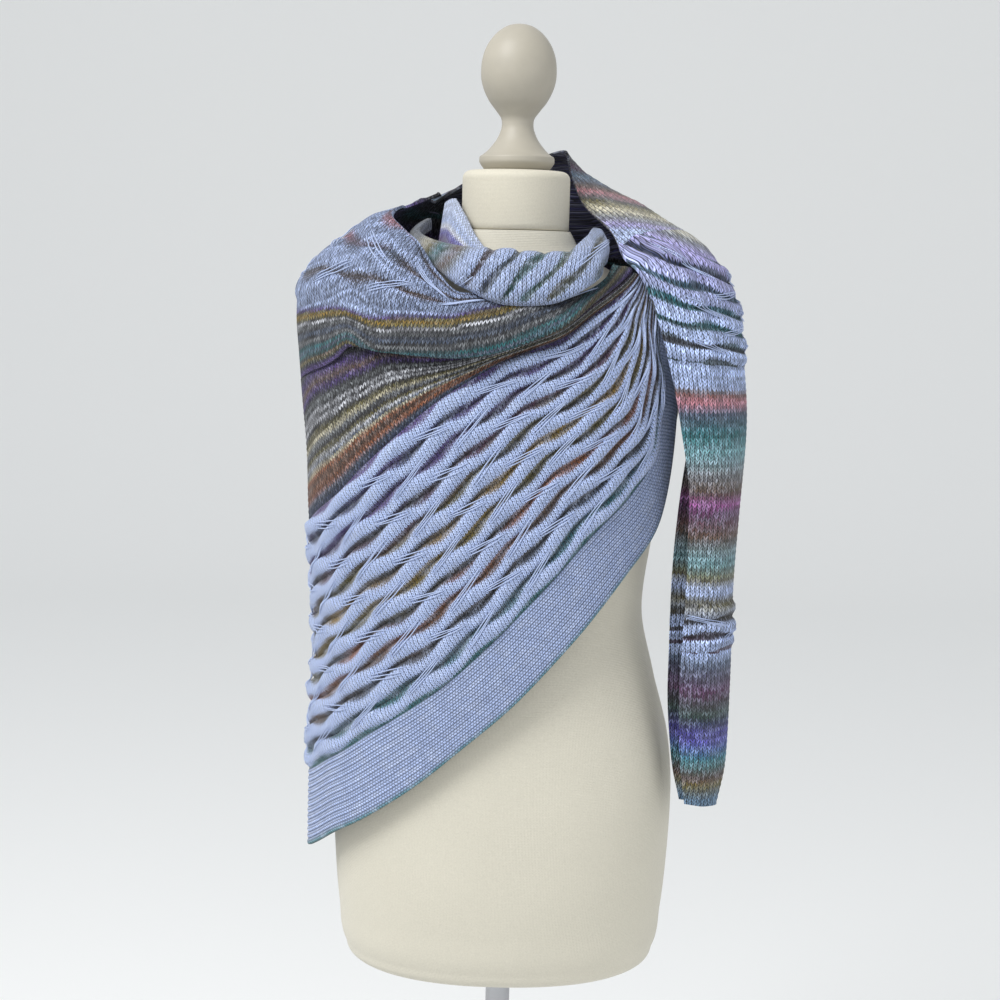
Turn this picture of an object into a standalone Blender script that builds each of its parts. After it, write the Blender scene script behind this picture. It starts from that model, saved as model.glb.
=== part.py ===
"""Knitted shawl wrapped round a limbless dress form on a round foot.

Metres, +Z up, -Y to the front, origin on the floor under the pole. The wearer's right is -X.
"""
import bpy
import bmesh
import numpy as np

# Sizes
clothThick = 0.0026      # knitted wall
seamGap = 0.0006         # between neighbouring stretches of cloth
bodyGap = 0.0031         # outer face of the cloth to the form, so its back lies 0.5 mm off
latticeHigh = 0.0042     # quilted ridges over the wall
latticeRepeat = 0.073    # length of one quilted cell along a row
frontRidges = 11
backRidges = 10
blockRadius = 0.053
blockBottom = 1.3665
blockTop = 1.424
poleRadius = 0.0125
baseRadius = 0.165
baseThick = 0.018
formPower = 2.2          # roundness of the form's rings, 2 is an ellipse
drapePower = 2.4

# The form, bottom to top: height, half width, depth to the front, depth to the back
formRings = np.array([
    (0.620, 0.132, 0.088, 0.088), (0.626, 0.150, 0.104, 0.104), (0.642, 0.160, 0.113, 0.113),
    (0.680, 0.166, 0.118, 0.119), (0.740, 0.171, 0.121, 0.124), (0.800, 0.173, 0.120, 0.126),
    (0.860, 0.168, 0.115, 0.121), (0.930, 0.150, 0.107, 0.108), (0.995, 0.137, 0.101, 0.098),
    (1.060, 0.144, 0.110, 0.100), (1.130, 0.157, 0.124, 0.106), (1.180, 0.165, 0.124, 0.110),
    (1.230, 0.174, 0.112, 0.111), (1.262, 0.175, 0.099, 0.105), (1.283, 0.165, 0.087, 0.094),
    (1.302, 0.145, 0.077, 0.082), (1.318, 0.118, 0.069, 0.072), (1.332, 0.090, 0.062, 0.064),
    (1.346, 0.068, 0.057, 0.058), (1.366, 0.0545, 0.0535, 0.0535)])

# The outline the wrapped cloth hangs on: height, reach to -X, reach to +X, to the front, to the back
drapeRings = np.array([
    (0.700, 0.194, 0.176, 0.133, 0.136), (0.790, 0.194, 0.176, 0.132, 0.134), (0.870, 0.1935, 0.172, 0.131, 0.129),
    (0.950, 0.190, 0.166, 0.131, 0.125), (1.020, 0.194, 0.160, 0.130, 0.122), (1.085, 0.200, 0.160, 0.128, 0.119),
    (1.150, 0.203, 0.164, 0.1275, 0.117), (1.200, 0.208, 0.171, 0.126, 0.115), (1.245, 0.212, 0.181, 0.121, 0.113),
    (1.279, 0.2145, 0.188, 0.116, 0.107), (1.304, 0.213, 0.180, 0.111, 0.102), (1.320, 0.206, 0.165, 0.107, 0.098),
    (1.337, 0.192, 0.145, 0.101, 0.093), (1.357, 0.167, 0.120, 0.094, 0.088), (1.377, 0.139, 0.098, 0.088, 0.084),
    (1.390, 0.108, 0.088, 0.084, 0.081), (1.402, 0.084, 0.082, 0.080, 0.078)])

# The wrap, from the gather on the left shoulder round the front, the right arm and the back.
# Each row is a line of stitches up the cloth: place, then turn (degrees from the front towards -X)
# and height of the hem, the top of the garter border, the top of the lattice, the chest fold and the neck edge,
# and last how far the chest fold bulges.
wrapLines = np.array([
    (0, -60, 1.303, -59, 1.311, -56, 1.326, -54, 1.329, -49, 1.334, 0.003),
    (1, -64, 1.254, -57, 1.268, -46, 1.308, -43, 1.311, -41, 1.318, 0.006),
    (2, -71, 1.197, -61, 1.214, -36, 1.291, -33, 1.294, -32, 1.307, 0.010),
    (3, -75, 1.145, -61, 1.165, -23, 1.268, -21, 1.272, -21, 1.301, 0.014),
    (4, -68, 1.093, -50, 1.121, -8, 1.254, -6, 1.258, -5, 1.305, 0.018),
    (5, -48, 1.041, -34, 1.082, 7, 1.240, 10, 1.247, 11, 1.304, 0.020),
    (6, -28, 0.982, -15, 1.030, 22, 1.219, 25, 1.243, 24, 1.304, 0.020),
    (7, -5, 0.921, 6, 0.978, 33, 1.198, 37, 1.244, 35, 1.320, 0.018),
    (8, 18, 0.872, 27, 0.930, 43, 1.172, 48, 1.246, 47, 1.351, 0.013),
    (9, 40, 0.822, 47, 0.889, 53, 1.143, 58, 1.244, 59, 1.370, 0.006),
    (10, 61, 0.779, 65, 0.850, 67, 1.102, 70, 1.230, 73, 1.383, 0.0),
    (11, 90, 0.736, 89, 0.817, 90, 1.072, 90, 1.213, 90, 1.388, 0.0),
    (12, 114, 0.752, 113, 0.832, 113, 1.074, 112, 1.212, 111, 1.387, 0.0),
    (13, 138, 0.800, 136, 0.876, 136, 1.098, 135, 1.224, 134, 1.379, 0.0),
    (14, 160, 0.862, 158, 0.935, 158, 1.130, 157, 1.240, 158, 1.368, 0.0),
    (15, 182, 0.932, 180, 1.001, 180, 1.161, 180, 1.256, 182, 1.358, 0.0),
    (16, 204, 1.008, 202, 1.072, 202, 1.193, 202, 1.271, 205, 1.349, 0.0),
    (17, 226, 1.092, 224, 1.143, 224, 1.226, 224, 1.287, 226, 1.341, 0.0),
    (18, 248, 1.183, 246, 1.216, 245, 1.258, 245, 1.301, 245, 1.335, 0.0)])

# Where the quilted part of the shoulder starts: place, share of the height from the fold to the neck edge
shoulderLattice = np.array([
    (0, 0.90), (4, 0.90), (5, 0.86), (6, 0.77), (7, 0.62), (8, 0.48), (9, 0.41), (10, 0.41), (11, 0.44), (18, 0.50)])
shoulderSplit = 0.44     # the same in the wall's own grid
shoulderRidges = 3

# Section of the chest fold: place up it, part of its height, part of its bulge
chestSection = np.array([
    (0.00, 0.20, 0.10), (0.07, 0.07, 0.22), (0.14, 0.02, 0.58), (0.24, 0.08, 0.90), (0.38, 0.24, 1.00),
    (0.58, 0.50, 0.80), (0.80, 0.77, 0.42), (1.00, 1.00, 0.12)])

# The roll at the neck: turn, radius and height of its crest, how far it bulges, how far it drops
neckRoll = np.array([
    (106, 0.088, 1.377, 0.009, 0.018), (88, 0.094, 1.368, 0.011, 0.018), (62, 0.096, 1.358, 0.016, 0.020),
    (42, 0.095, 1.352, 0.023, 0.024), (22, 0.092, 1.348, 0.036, 0.0375), (3, 0.091, 1.345, 0.041, 0.0481),
    (-17, 0.095, 1.344, 0.041, 0.0445), (-33, 0.099, 1.348, 0.040, 0.031), (-46, 0.095, 1.358, 0.024, 0.026),
    (-61, 0.084, 1.368, 0.019, 0.032), (-82, 0.077, 1.371, 0.009, 0.026)])
# Its section: place, part of the bulge, part of the drop
rollSection = np.array([
    (0.00, -0.14, 0.62), (0.14, -0.12, 0.26), (0.28, 0.04, 0.00), (0.44, 0.50, 0.02), (0.60, 0.86, 0.26),
    (0.76, 1.00, 0.60), (0.90, 0.96, 0.90), (1.00, 0.84, 1.02)])

# The layer inside the roll: turn, radius and height of its upper edge, radius and height of its lower edge
neckLayer = np.array([
    (126, 0.076, 1.398, 0.081, 1.362), (104, 0.073, 1.392, 0.079, 1.352), (82, 0.063, 1.396, 0.071, 1.348),
    (56, 0.061, 1.381, 0.073, 1.341), (38, 0.066, 1.363, 0.075, 1.335), (24, 0.070, 1.348, 0.076, 1.330)])

# Collar and tail, from behind the neck over the left shoulder and down the front, a row for each section:
# place, inner edge x y z, outer crest x y z, far edge x y z, bulge of the stretch between the first two
tailSections = np.array([
    (0, -0.081, 0.028, 1.394, -0.095, 0.036, 1.397, -0.108, 0.044, 1.390, 0.001),
    (1, -0.046, 0.074, 1.418, -0.053, 0.083, 1.398, -0.059, 0.082, 1.378, 0.002),
    (2, 0.004, 0.089, 1.436, 0.002, 0.099, 1.402, 0.000, 0.0890, 1.362, 0.003),
    (3, 0.048, 0.074, 1.450, 0.050, 0.098, 1.404, 0.043, 0.092, 1.355, 0.005),
    (4, 0.056, 0.044, 1.424, 0.092, 0.086, 1.404, 0.116, 0.108, 1.326, 0.008),
    (5, 0.067, 0.002, 1.394, 0.126, 0.050, 1.394, 0.168, 0.100, 1.302, 0.010),
    (6, 0.093, -0.034, 1.367, 0.156, 0.022, 1.376, 0.206, 0.084, 1.288, 0.011),
    (7, 0.103, -0.066, 1.343, 0.187, -0.006, 1.356, 0.222, 0.066, 1.268, 0.013),
    (8, 0.117, -0.090, 1.328, 0.206, -0.026, 1.326, 0.226, 0.046, 1.250, 0.017),
    (9, 0.131, -0.102, 1.297, 0.218, -0.042, 1.290, 0.214, 0.022, 1.232, 0.018),
    (10, 0.146, -0.104, 1.248, 0.225, -0.050, 1.238, 0.198, -0.004, 1.224, 0.019),
    (11, 0.160, -0.100, 1.187, 0.229, -0.053, 1.181, 0.180, -0.024, 1.177, 0.018),
    (12, 0.172, -0.093, 1.105, 0.225, -0.056, 1.099, 0.167, -0.040, 1.096, 0.015),
    (13, 0.172, -0.089, 1.022, 0.222, -0.056, 1.017, 0.162, -0.048, 1.012, 0.014),
    (14, 0.170, -0.084, 0.936, 0.223, -0.054, 0.930, 0.162, -0.047, 0.927, 0.013),
    (15, 0.173, -0.080, 0.858, 0.222, -0.053, 0.852, 0.168, -0.047, 0.849, 0.012),
    (16, 0.180, -0.074, 0.808, 0.214, -0.055, 0.803, 0.177, -0.051, 0.806, 0.007)])
tailSplit = 6.6          # where the collar ends and the tail begins
tailQuilts = [(1.327, 1.2445), (1.013, 0.9635)]   # top and bottom heights of its quilted bands
creaseDeep = 0.006       # the crease down the tail's front

# Finial on the neck block: height above the block, radius
finialProfile = [
    (0.0005, 0.0), (0.0005, 0.031), (0.003, 0.0335), (0.009, 0.0370), (0.013, 0.0368), (0.016, 0.0330),
    (0.021, 0.0275), (0.030, 0.0205), (0.039, 0.0165), (0.045, 0.0155), (0.051, 0.0165), (0.058, 0.0215),
    (0.068, 0.0290), (0.081, 0.0350), (0.094, 0.0370), (0.108, 0.0358), (0.121, 0.0310), (0.132, 0.0225),
    (0.139, 0.0120), (0.1415, 0.0)]


def throughRows(rows, at):
    """Smooth curve through a table whose first column is the place along it. It never swings past a row."""
    at = np.asarray(at, float)
    place, values = rows[:, 0], rows[:, 1:]
    rise = np.diff(values, axis=0) / np.diff(place)[:, None]
    low, high = np.vstack([rise[:1], rise]), np.vstack([rise, rise[-1:]])
    slope = np.gradient(values, place, axis=0)
    limit = 3 * np.minimum(np.abs(low), np.abs(high))
    slope = np.where(low * high <= 0, 0.0, np.sign(low) * np.minimum(np.abs(slope), limit))
    i = np.clip(np.searchsorted(place, at, side="right") - 1, 0, len(place) - 2)
    h = place[i + 1] - place[i]
    t = np.clip((at - place[i]) / h, 0.0, 1.0)[..., None]
    h = h[..., None]
    return ((2 * t**3 - 3 * t**2 + 1) * values[i] + (t**3 - 2 * t**2 + t) * h * slope[i]
            + (3 * t**2 - 2 * t**3) * values[i + 1] + (t**3 - t**2) * h * slope[i + 1])


def ringPoint(turn, z, rings, power):
    """Point at this turn from the front towards -X, and this height, on a stack of rounded rings."""
    ring = throughRows(rings, z)
    s, c = np.sin(turn), np.cos(turn)
    side = np.where(s > 0, ring[..., 0], ring[..., -3])
    deep = np.where(c > 0, ring[..., -2], ring[..., -1])
    r = ((np.abs(s) / side)**power + (np.abs(c) / deep)**power)**(-1 / power)
    return np.stack([-r * s, -r * c, z + 0 * r], -1)


def clearOf(points, rings, power, gap):
    """Moves points out until each is this far outside a stack of rings."""
    def inside(p):
        turn = np.arctan2(-p[..., 0], -p[..., 1])
        wall = ringPoint(turn, p[..., 2], rings, power)
        return np.hypot(p[..., 0], p[..., 1]) - np.hypot(wall[..., 0], wall[..., 1])

    p = points.copy()
    step = 5e-4
    for _ in range(6):
        here = inside(p)
        grad = np.stack([(inside(p + step * axis) - here) / step for axis in np.eye(3)], -1)
        length = np.linalg.norm(grad, axis=-1)
        away = here / np.maximum(length, 1e-6)
        push = np.clip(gap - away, 0.0, 0.01)
        push = np.where((p[..., 2] > rings[0, 0]) & (p[..., 2] < rings[-1, 0] + gap), push, 0.0)
        p += push[..., None] * grad / np.maximum(length, 1e-6)[..., None]
    return p


def normalsOf(grid):
    """Unit normals of a grid of points, across its two directions."""
    n = np.cross(np.gradient(grid, axis=0), np.gradient(grid, axis=1))
    return n / np.maximum(np.linalg.norm(n, axis=-1, keepdims=True), 1e-12)


def lattice(along, ridge):
    """Height of the quilted ridges: rounded across each row, each cell fullest at its middle and
    half a cell along from those of the next row."""
    part = ridge - np.floor(ridge)
    swell = 0.68 + 0.32 * np.cos(2 * np.pi * (along / latticeRepeat + 0.5 * (np.floor(ridge) % 2)))
    return latticeHigh * np.sin(np.pi * part)**0.8 * swell


def lengthAlong(grid):
    """Distance along the first direction of a grid, from its start."""
    step = np.linalg.norm(np.diff(grid, axis=0), axis=-1)
    return np.vstack([np.zeros((1, grid.shape[1])), np.cumsum(step, axis=0)])


def makeObject(name, points, faces, colour, roughness, metallic=0.0):
    mesh = bpy.data.meshes.new(name)
    mesh.from_pydata([tuple(p) for p in points], [], faces)
    bm = bmesh.new()
    bm.from_mesh(mesh)
    bmesh.ops.recalc_face_normals(bm, faces=bm.faces)
    if bm.calc_volume(signed=True) < 0:
        bmesh.ops.reverse_faces(bm, faces=bm.faces)
    bm.to_mesh(mesh)
    bm.free()
    mesh.shade_smooth()
    material = bpy.data.materials.new(name)
    material.use_nodes = True
    shader = material.node_tree.nodes["Principled BSDF"]
    shader.inputs["Base Color"].default_value = (*colour, 1)
    shader.inputs["Roughness"].default_value = roughness
    shader.inputs["Metallic"].default_value = metallic
    mesh.materials.append(material)
    obj = bpy.data.objects.new(name, mesh)
    bpy.context.scene.collection.objects.link(obj)
    return obj


def clothWall(name, grid, colour, relief=None, skip=(1, 1), thick=clothThick):
    """Closed wall: the outer face carries the relief, the inner one is plain and uses every skip-th point."""
    normal = normalsOf(grid)
    outer = grid if relief is None else grid + normal * relief[..., None]
    inner = (grid - normal * thick)[::skip[0], ::skip[1]]
    nu, nv = grid.shape[:2]
    mu, mv = inner.shape[:2]
    o = np.arange(nu * nv).reshape(nu, nv)
    n = nu * nv + np.arange(mu * mv).reshape(mu, mv)
    faces = [tuple(f) for f in np.stack([o[:-1, :-1], o[1:, :-1], o[1:, 1:], o[:-1, 1:]], -1).reshape(-1, 4)]
    faces += [tuple(f) for f in np.stack([n[:-1, :-1], n[:-1, 1:], n[1:, 1:], n[1:, :-1]], -1).reshape(-1, 4)]

    def rim(fine, coarse, k):
        for j in range(len(coarse) - 1):
            a, b = coarse[j], coarse[j + 1]
            run = fine[j * k:(j + 1) * k + 1]
            mid = k // 2
            for m in range(k):
                faces.append((a if m < mid or k == 1 else b, run[m + 1], run[m]))
                if m == mid and k > 1 or k == 1:
                    faces.append((a, b, run[m] if k > 1 else run[m + 1]))

    rim(o[0, :], n[0, :], skip[1])
    rim(o[-1, ::-1], n[-1, ::-1], skip[1])
    rim(o[::-1, 0], n[::-1, 0], skip[0])
    rim(o[:, -1], n[:, -1], skip[0])
    return makeObject(name, np.vstack([outer.reshape(-1, 3), inner.reshape(-1, 3)]), faces, colour, 0.9)


def turned(name, profile, colour, roughness, metallic, sides, bottom=0.0):
    """Turned solid from a profile of height and radius, closed on the axis at both ends."""
    points, faces, rings = [], [], []
    angle = np.linspace(0, 2 * np.pi, sides, endpoint=False)
    for z, r in profile:
        if r < 1e-6:
            rings.append([len(points)])
            points.append((0, 0, bottom + z))
        else:
            rings.append(list(range(len(points), len(points) + sides)))
            points += [(r * np.cos(a), r * np.sin(a), bottom + z) for a in angle]
    for low, high in zip(rings, rings[1:]):
        for k in range(sides):
            m = (k + 1) % sides
            if len(low) == 1:
                faces.append((low[0], high[k], high[m]))
            elif len(high) == 1:
                faces.append((low[k], high[0], low[m]))
            else:
                faces.append((low[k], high[k], high[m], low[m]))
    return makeObject(name, points, faces, colour, roughness, metallic)


def wrapGrid(u, v, low, high):
    """Part of the wrap between two of its row lines (0 hem, 1 border, 2 lattice, 3 fold, 4 neck)."""
    lines = throughRows(wrapLines, u)
    turn = np.radians(lines[:, None, 2 * low] + (lines[:, 2 * high] - lines[:, 2 * low])[:, None] * v)
    z = lines[:, None, 2 * low + 1] + (lines[:, 2 * high + 1] - lines[:, 2 * low + 1])[:, None] * v
    return turn, z, lines[:, -1]


def hang(turn, z):
    """The cloth's outline, with soft hanging folds that deepen towards the hem at the back and side."""
    grid = ringPoint(turn, z, drapeRings, drapePower)
    deep = np.clip((1.22 - z) / 0.45, 0, 1)**1.3 * np.clip((np.degrees(turn) - 62) / 40, 0, 1)
    wave = 0.0075 * deep * np.sin(turn * 9.0 + 2.2 * (1.2 - z))
    grid[..., 0] -= np.sin(turn) * wave
    grid[..., 1] -= np.cos(turn) * wave
    return clearOf(grid, formRings, formPower, bodyGap)


def outward(turn, z):
    """Unit normal of the hanging cloth."""
    turn, z = np.broadcast_arrays(turn, z)
    side = hang(turn + 1e-3, z) - hang(turn - 1e-3, z)
    up = hang(turn, z + 2e-4) - hang(turn, z - 2e-4)
    n = np.cross(up, side)
    return n / np.linalg.norm(n, axis=-1, keepdims=True)


def panel(low, high, places, v, gap=seamGap):
    """Stretch of the wrap between two row lines, its upper edge a seam's gap short of the next."""
    u = places[::-1]
    turn, z, _ = wrapGrid(u, np.array([[0.0, 1.0]]), low, high)
    length = np.linalg.norm(np.diff(hang(turn, z), axis=1), axis=-1)
    turn, z, _ = wrapGrid(u, v[None, :] * (1 - gap / length), low, high)
    return hang(turn, z)


def shoulderRow(u, v):
    """Height share of the shoulder's rows: 0 to shoulderSplit is striped, the rest quilted."""
    split = throughRows(shoulderLattice, u)
    low = v / shoulderSplit * split
    high = split + (v - shoulderSplit) / (1 - shoulderSplit) * (1 - split)
    return np.where(v < shoulderSplit, low, high)


def chestGrid(u, v):
    """The chest fold and shoulder: lies on the outline, bulges out and curls under along its lower edge."""
    u = u[::-1]
    bulge = throughRows(wrapLines, u)[:, -1:]
    share = np.clip(bulge / 0.012, 0, 1)
    row = shoulderRow(u, v[None, :])
    section = throughRows(chestSection, row)
    up = row * (1 - share) + section[..., 0] * share
    turn, z, _ = wrapGrid(u, up, 3, 4)
    grid = hang(turn, z)
    lift = 0.0046 * np.clip(bulge / 0.004, 0, 1) * np.clip((1.0 - up) / 0.3, 0.0, 1.0)
    out = lift + bulge * section[..., 1]
    return grid + outward(turn, z) * out[..., None]


def rollGrid(turn, v):
    rows = throughRows(neckRoll[::-1], turn)
    section = throughRows(rollSection, v)
    r = rows[:, None, 0] + rows[:, None, 2] * section[None, :, 0]
    z = rows[:, None, 1] - rows[:, None, 3] * section[None, :, 1]
    a = np.radians(turn)[:, None]
    return clearOf(np.stack([-r * np.sin(a), -r * np.cos(a), z], -1), formRings, formPower, bodyGap)


def layerGrid(turn, v):
    rows = throughRows(neckLayer[::-1], turn)
    r = rows[:, None, 0] + (rows[:, None, 2] - rows[:, None, 0]) * v
    z = rows[:, None, 1] + (rows[:, None, 3] - rows[:, None, 1]) * v
    a = np.radians(turn)[:, None]
    return clearOf(np.stack([-r * np.sin(a), -r * np.cos(a), z], -1), formRings, formPower, bodyGap)


def tailGrid(u, v):
    """Collar and tail: from the inner edge over the crest to the far edge, rounded between them."""
    rows = throughRows(tailSections, u)
    inner, crest, far, bulge = rows[:, 0:3], rows[:, 3:6], rows[:, 6:9], rows[:, 9:10]
    across = crest - inner
    along = np.gradient((inner + crest) / 2, axis=0)
    out = np.cross(across, along)
    out /= np.linalg.norm(out, axis=-1, keepdims=True)
    out *= np.where((out * (inner + crest) * (1, 1, 0)).sum(-1, keepdims=True) + 0.2 * out[:, 2:] > 0, 1, -1)
    turnBack = far - crest
    round3 = np.stack([inner, inner + 0.30 * across + 1.05 * bulge * out, inner + 0.68 * across + 0.95 * bulge * out,
                       crest, crest + 0.42 * turnBack + 0.45 * bulge * (crest - inner)
                       / np.linalg.norm(across, axis=-1, keepdims=True), far], 1)
    stops = np.array([0.0, 0.18, 0.38, 0.58, 0.78, 1.0])
    grid = np.array([throughRows(np.column_stack([stops, line]), v) for line in round3])
    crease = np.exp(-((v[None, :] - 0.27) / 0.045)**2) * np.clip((u[:, None] - 6.2) / 1.5, 0, 1)
    crease *= np.clip((12.0 - u[:, None]) / 2.5, 0, 1)
    return grid - normalsOf(grid) * (creaseDeep * crease)[..., None]


def tailRelief(grid):
    """The tail's rows run level, and slope with the shoulder above it. Two bands of them are quilted."""
    x, z = grid[..., 0], grid[..., 2]
    row = z + 0.5 * np.clip((z - 1.2) / 0.15, 0, 1) * (x - 0.19)
    along = np.cumsum(np.linalg.norm(np.diff(grid, axis=1, prepend=grid[:, :1]), axis=-1), axis=1)
    high = np.zeros(x.shape)
    for top, bottom in tailQuilts:
        ridge = (top - row) / 0.0165
        high += np.where((row < top) & (row > bottom), lattice(along, ridge), 0.0)
    return high


def buildShawl():
    blue, stripe, deep, edge = (0.42, 0.52, 0.78), (0.22, 0.21, 0.22), (0.12, 0.20, 0.26), (0.40, 0.49, 0.72)
    side, step = 11.45, 0.015                     # place where front and back stretches meet, and half the gap
    frontPlaces = np.linspace(0.0, side - step, 29)
    backPlaces = np.linspace(side + step, 18.0, 22)
    for name, places, ridges in (("front", frontPlaces, frontRidges), ("back", backPlaces, backRidges)):
        clothWall(name + "_border", panel(0, 1, places, np.linspace(0, 1, 5)), edge)
        v = np.linspace(0, 1, 3 * ridges + 1)
        grid = panel(1, 2, places, v)
        room = np.clip(np.linalg.norm(grid[:, -1] - grid[:, 0], axis=-1) / ridges / 0.013, 0.2, 1)[:, None]
        relief = lattice(lengthAlong(grid), v[None, :] * ridges) * room
        clothWall(name + "_lattice", grid, blue, relief, (1, 3))
    # Plain stripes above the lattice. In front they run up behind the chest fold.
    u = frontPlaces[frontPlaces > 3.4][::-1]
    lines = throughRows(wrapLines, u)
    reach = 0.15 * np.clip((lines[:, -1] - 0.004) / 0.010, 0, 1) - 0.005
    v = np.linspace(0, 1, 7)[None, :]
    fields = []
    for low, mid, high in ((4, 6, 8), (5, 7, 9)):
        top = lines[:, mid] + reach * (lines[:, high] - lines[:, mid])
        fields.append(lines[:, low, None] + (top - lines[:, low])[:, None] * v)
    clothWall("front_stripes", hang(np.radians(fields[0]), fields[1]), stripe)
    clothWall("back_stripes", panel(2, 3, backPlaces, np.linspace(0, 1, 4)), stripe)
    # Chest fold and shoulders, striped below and quilted above
    for name, places, plainRows in (("chest_fold", frontPlaces, 9), ("back_yoke", backPlaces, 4)):
        v = np.concatenate([np.linspace(0, shoulderSplit, plainRows)[:-1], np.linspace(shoulderSplit, 1, 10)])
        grid = chestGrid(places, v)
        ridge = (v - shoulderSplit) / (1 - shoulderSplit) * shoulderRidges
        room = np.clip((1 - throughRows(shoulderLattice, places[::-1])) / 0.4, 0, 1)
        relief = np.where(v > shoulderSplit, lattice(lengthAlong(grid), ridge[None, :]), 0.0) * room
        clothWall(name, grid, stripe, relief, (1, 1) if name == "chest_fold" else (1, 3))
    # Neck
    clothWall("neck_roll", rollGrid(np.linspace(-82, 106, 25), np.linspace(0, 1, 13)), blue)
    clothWall("neck_layer", layerGrid(np.linspace(24, 126, 11), np.linspace(0, 1, 5)[None, :]), deep)
    # Collar and tail
    across = np.linspace(0, 1, 14)
    clothWall("collar", tailGrid(np.linspace(0, tailSplit - step, 16), across), stripe)
    u = np.concatenate([np.linspace(tailSplit + step, 7.6, 3)[:-1], np.linspace(7.6, 9.9, 12),
                        np.linspace(10.4, 12.9, 5), np.linspace(13.05, 14.0, 6)[:-1], np.linspace(14.0, 16, 6)])
    grid = tailGrid(u, across)
    clothWall("tail", grid, deep, tailRelief(grid), (1, 1))


def buildForm():
    cream, grey, steel = (0.70, 0.66, 0.56), (0.36, 0.33, 0.27), (0.55, 0.55, 0.56)
    sides = 32
    turn = np.linspace(0, 2 * np.pi, sides, endpoint=False)
    points, faces = [], []
    levels = formRings[:, 0]
    for z in levels:
        points += list(ringPoint(turn, np.full(sides, z), formRings, formPower))
    for k in range(len(levels) - 1):
        for j in range(sides):
            m = (j + 1) % sides
            faces.append((k * sides + j, k * sides + m, (k + 1) * sides + m, (k + 1) * sides + j))
    faces.append(tuple(range(sides)))
    faces.append(tuple(range((len(levels) - 1) * sides, len(levels) * sides))[::-1])
    makeObject("form_body", points, faces, cream, 0.85)
    tall = blockTop - blockBottom
    turned("neck_block", [(0, 0), (0, blockRadius), (tall - 0.010, blockRadius), (tall - 0.004, blockRadius - 0.002),
                          (tall, blockRadius - 0.008), (tall, 0)], cream, 0.55, 0.0, 32, blockBottom)
    turned("finial", finialProfile, grey, 0.6, 0.0, 24, blockTop)
    socket = formRings[0, 0] - baseThick - 0.0006
    turned("pole", [(0, 0), (0, poleRadius), (socket, poleRadius), (socket, 0)], steel, 0.35, 0.9, 24,
           baseThick + 0.0003)
    turned("base", [(0, 0), (0, baseRadius - 0.003), (0.003, baseRadius), (baseThick - 0.006, baseRadius),
                    (baseThick - 0.001, baseRadius - 0.006), (baseThick, baseRadius - 0.020), (baseThick, 0)],
           steel, 0.4, 0.9, 40)


for old in list(bpy.data.objects):
    bpy.data.objects.remove(old)
buildForm()
buildShawl()
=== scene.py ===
import bpy
import numpy as np
from mathutils import Euler, Matrix


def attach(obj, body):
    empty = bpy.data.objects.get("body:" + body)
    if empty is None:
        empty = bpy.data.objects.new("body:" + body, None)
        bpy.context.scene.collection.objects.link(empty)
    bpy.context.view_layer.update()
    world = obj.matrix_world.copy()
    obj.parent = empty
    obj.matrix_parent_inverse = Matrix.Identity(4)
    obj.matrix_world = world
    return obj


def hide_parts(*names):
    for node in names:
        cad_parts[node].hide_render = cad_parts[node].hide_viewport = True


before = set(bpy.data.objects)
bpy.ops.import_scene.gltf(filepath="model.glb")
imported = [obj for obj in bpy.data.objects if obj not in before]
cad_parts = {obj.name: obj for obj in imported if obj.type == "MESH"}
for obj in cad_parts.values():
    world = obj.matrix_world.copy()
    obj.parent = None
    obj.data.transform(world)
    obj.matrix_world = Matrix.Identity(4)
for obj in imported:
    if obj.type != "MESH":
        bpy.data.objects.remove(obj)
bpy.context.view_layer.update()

# Yarns by name, as screen colours from 0 to 255
yarns = {
    "blue": (178, 196, 238), "ice": (206, 218, 246), "lilac": (160, 152, 208), "white": (228, 230, 238),
    "cream": (206, 198, 170), "grey": (132, 136, 140), "slate": (86, 100, 124), "charcoal": (58, 58, 66),
    "black": (34, 34, 42), "teal": (44, 116, 122), "aqua": (124, 168, 176), "olive": (112, 104, 54),
    "gold": (158, 126, 44), "rust": (158, 94, 56), "brown": (104, 80, 66), "pink": (196, 128, 138),
    "magenta": (158, 86, 150), "maroon": (88, 50, 84), "purple": (88, 64, 136), "violet": (96, 92, 184),
    "indigo": (52, 50, 110), "navy": (40, 54, 92), "green": (58, 82, 72), "steel": (96, 128, 156)}


def linearColour(screen):   # ((c + 0.055) / 1.055) to the power 2.4, with c from 0 to 1
    c = np.array(screen) / 255
    return tuple(float(x) for x in ((c + 0.055) / 1.055) ** 2.4) + (1.0,)


# The form, bottom to top: height, half width, depth to the front, depth to the back
formRings = np.array([
    (0.620, 0.132, 0.088, 0.088), (0.626, 0.150, 0.104, 0.104), (0.642, 0.160, 0.113, 0.113),
    (0.680, 0.166, 0.118, 0.119), (0.740, 0.171, 0.121, 0.124), (0.800, 0.173, 0.120, 0.126),
    (0.860, 0.168, 0.115, 0.121), (0.930, 0.150, 0.107, 0.108), (0.995, 0.137, 0.101, 0.098),
    (1.060, 0.144, 0.110, 0.100), (1.130, 0.157, 0.124, 0.106), (1.180, 0.165, 0.124, 0.110),
    (1.230, 0.174, 0.112, 0.111), (1.262, 0.175, 0.099, 0.105), (1.283, 0.165, 0.087, 0.094),
    (1.302, 0.145, 0.077, 0.082), (1.318, 0.118, 0.069, 0.072), (1.332, 0.090, 0.062, 0.064),
    (1.346, 0.068, 0.057, 0.058), (1.366, 0.0545, 0.0535, 0.0535)])

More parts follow.
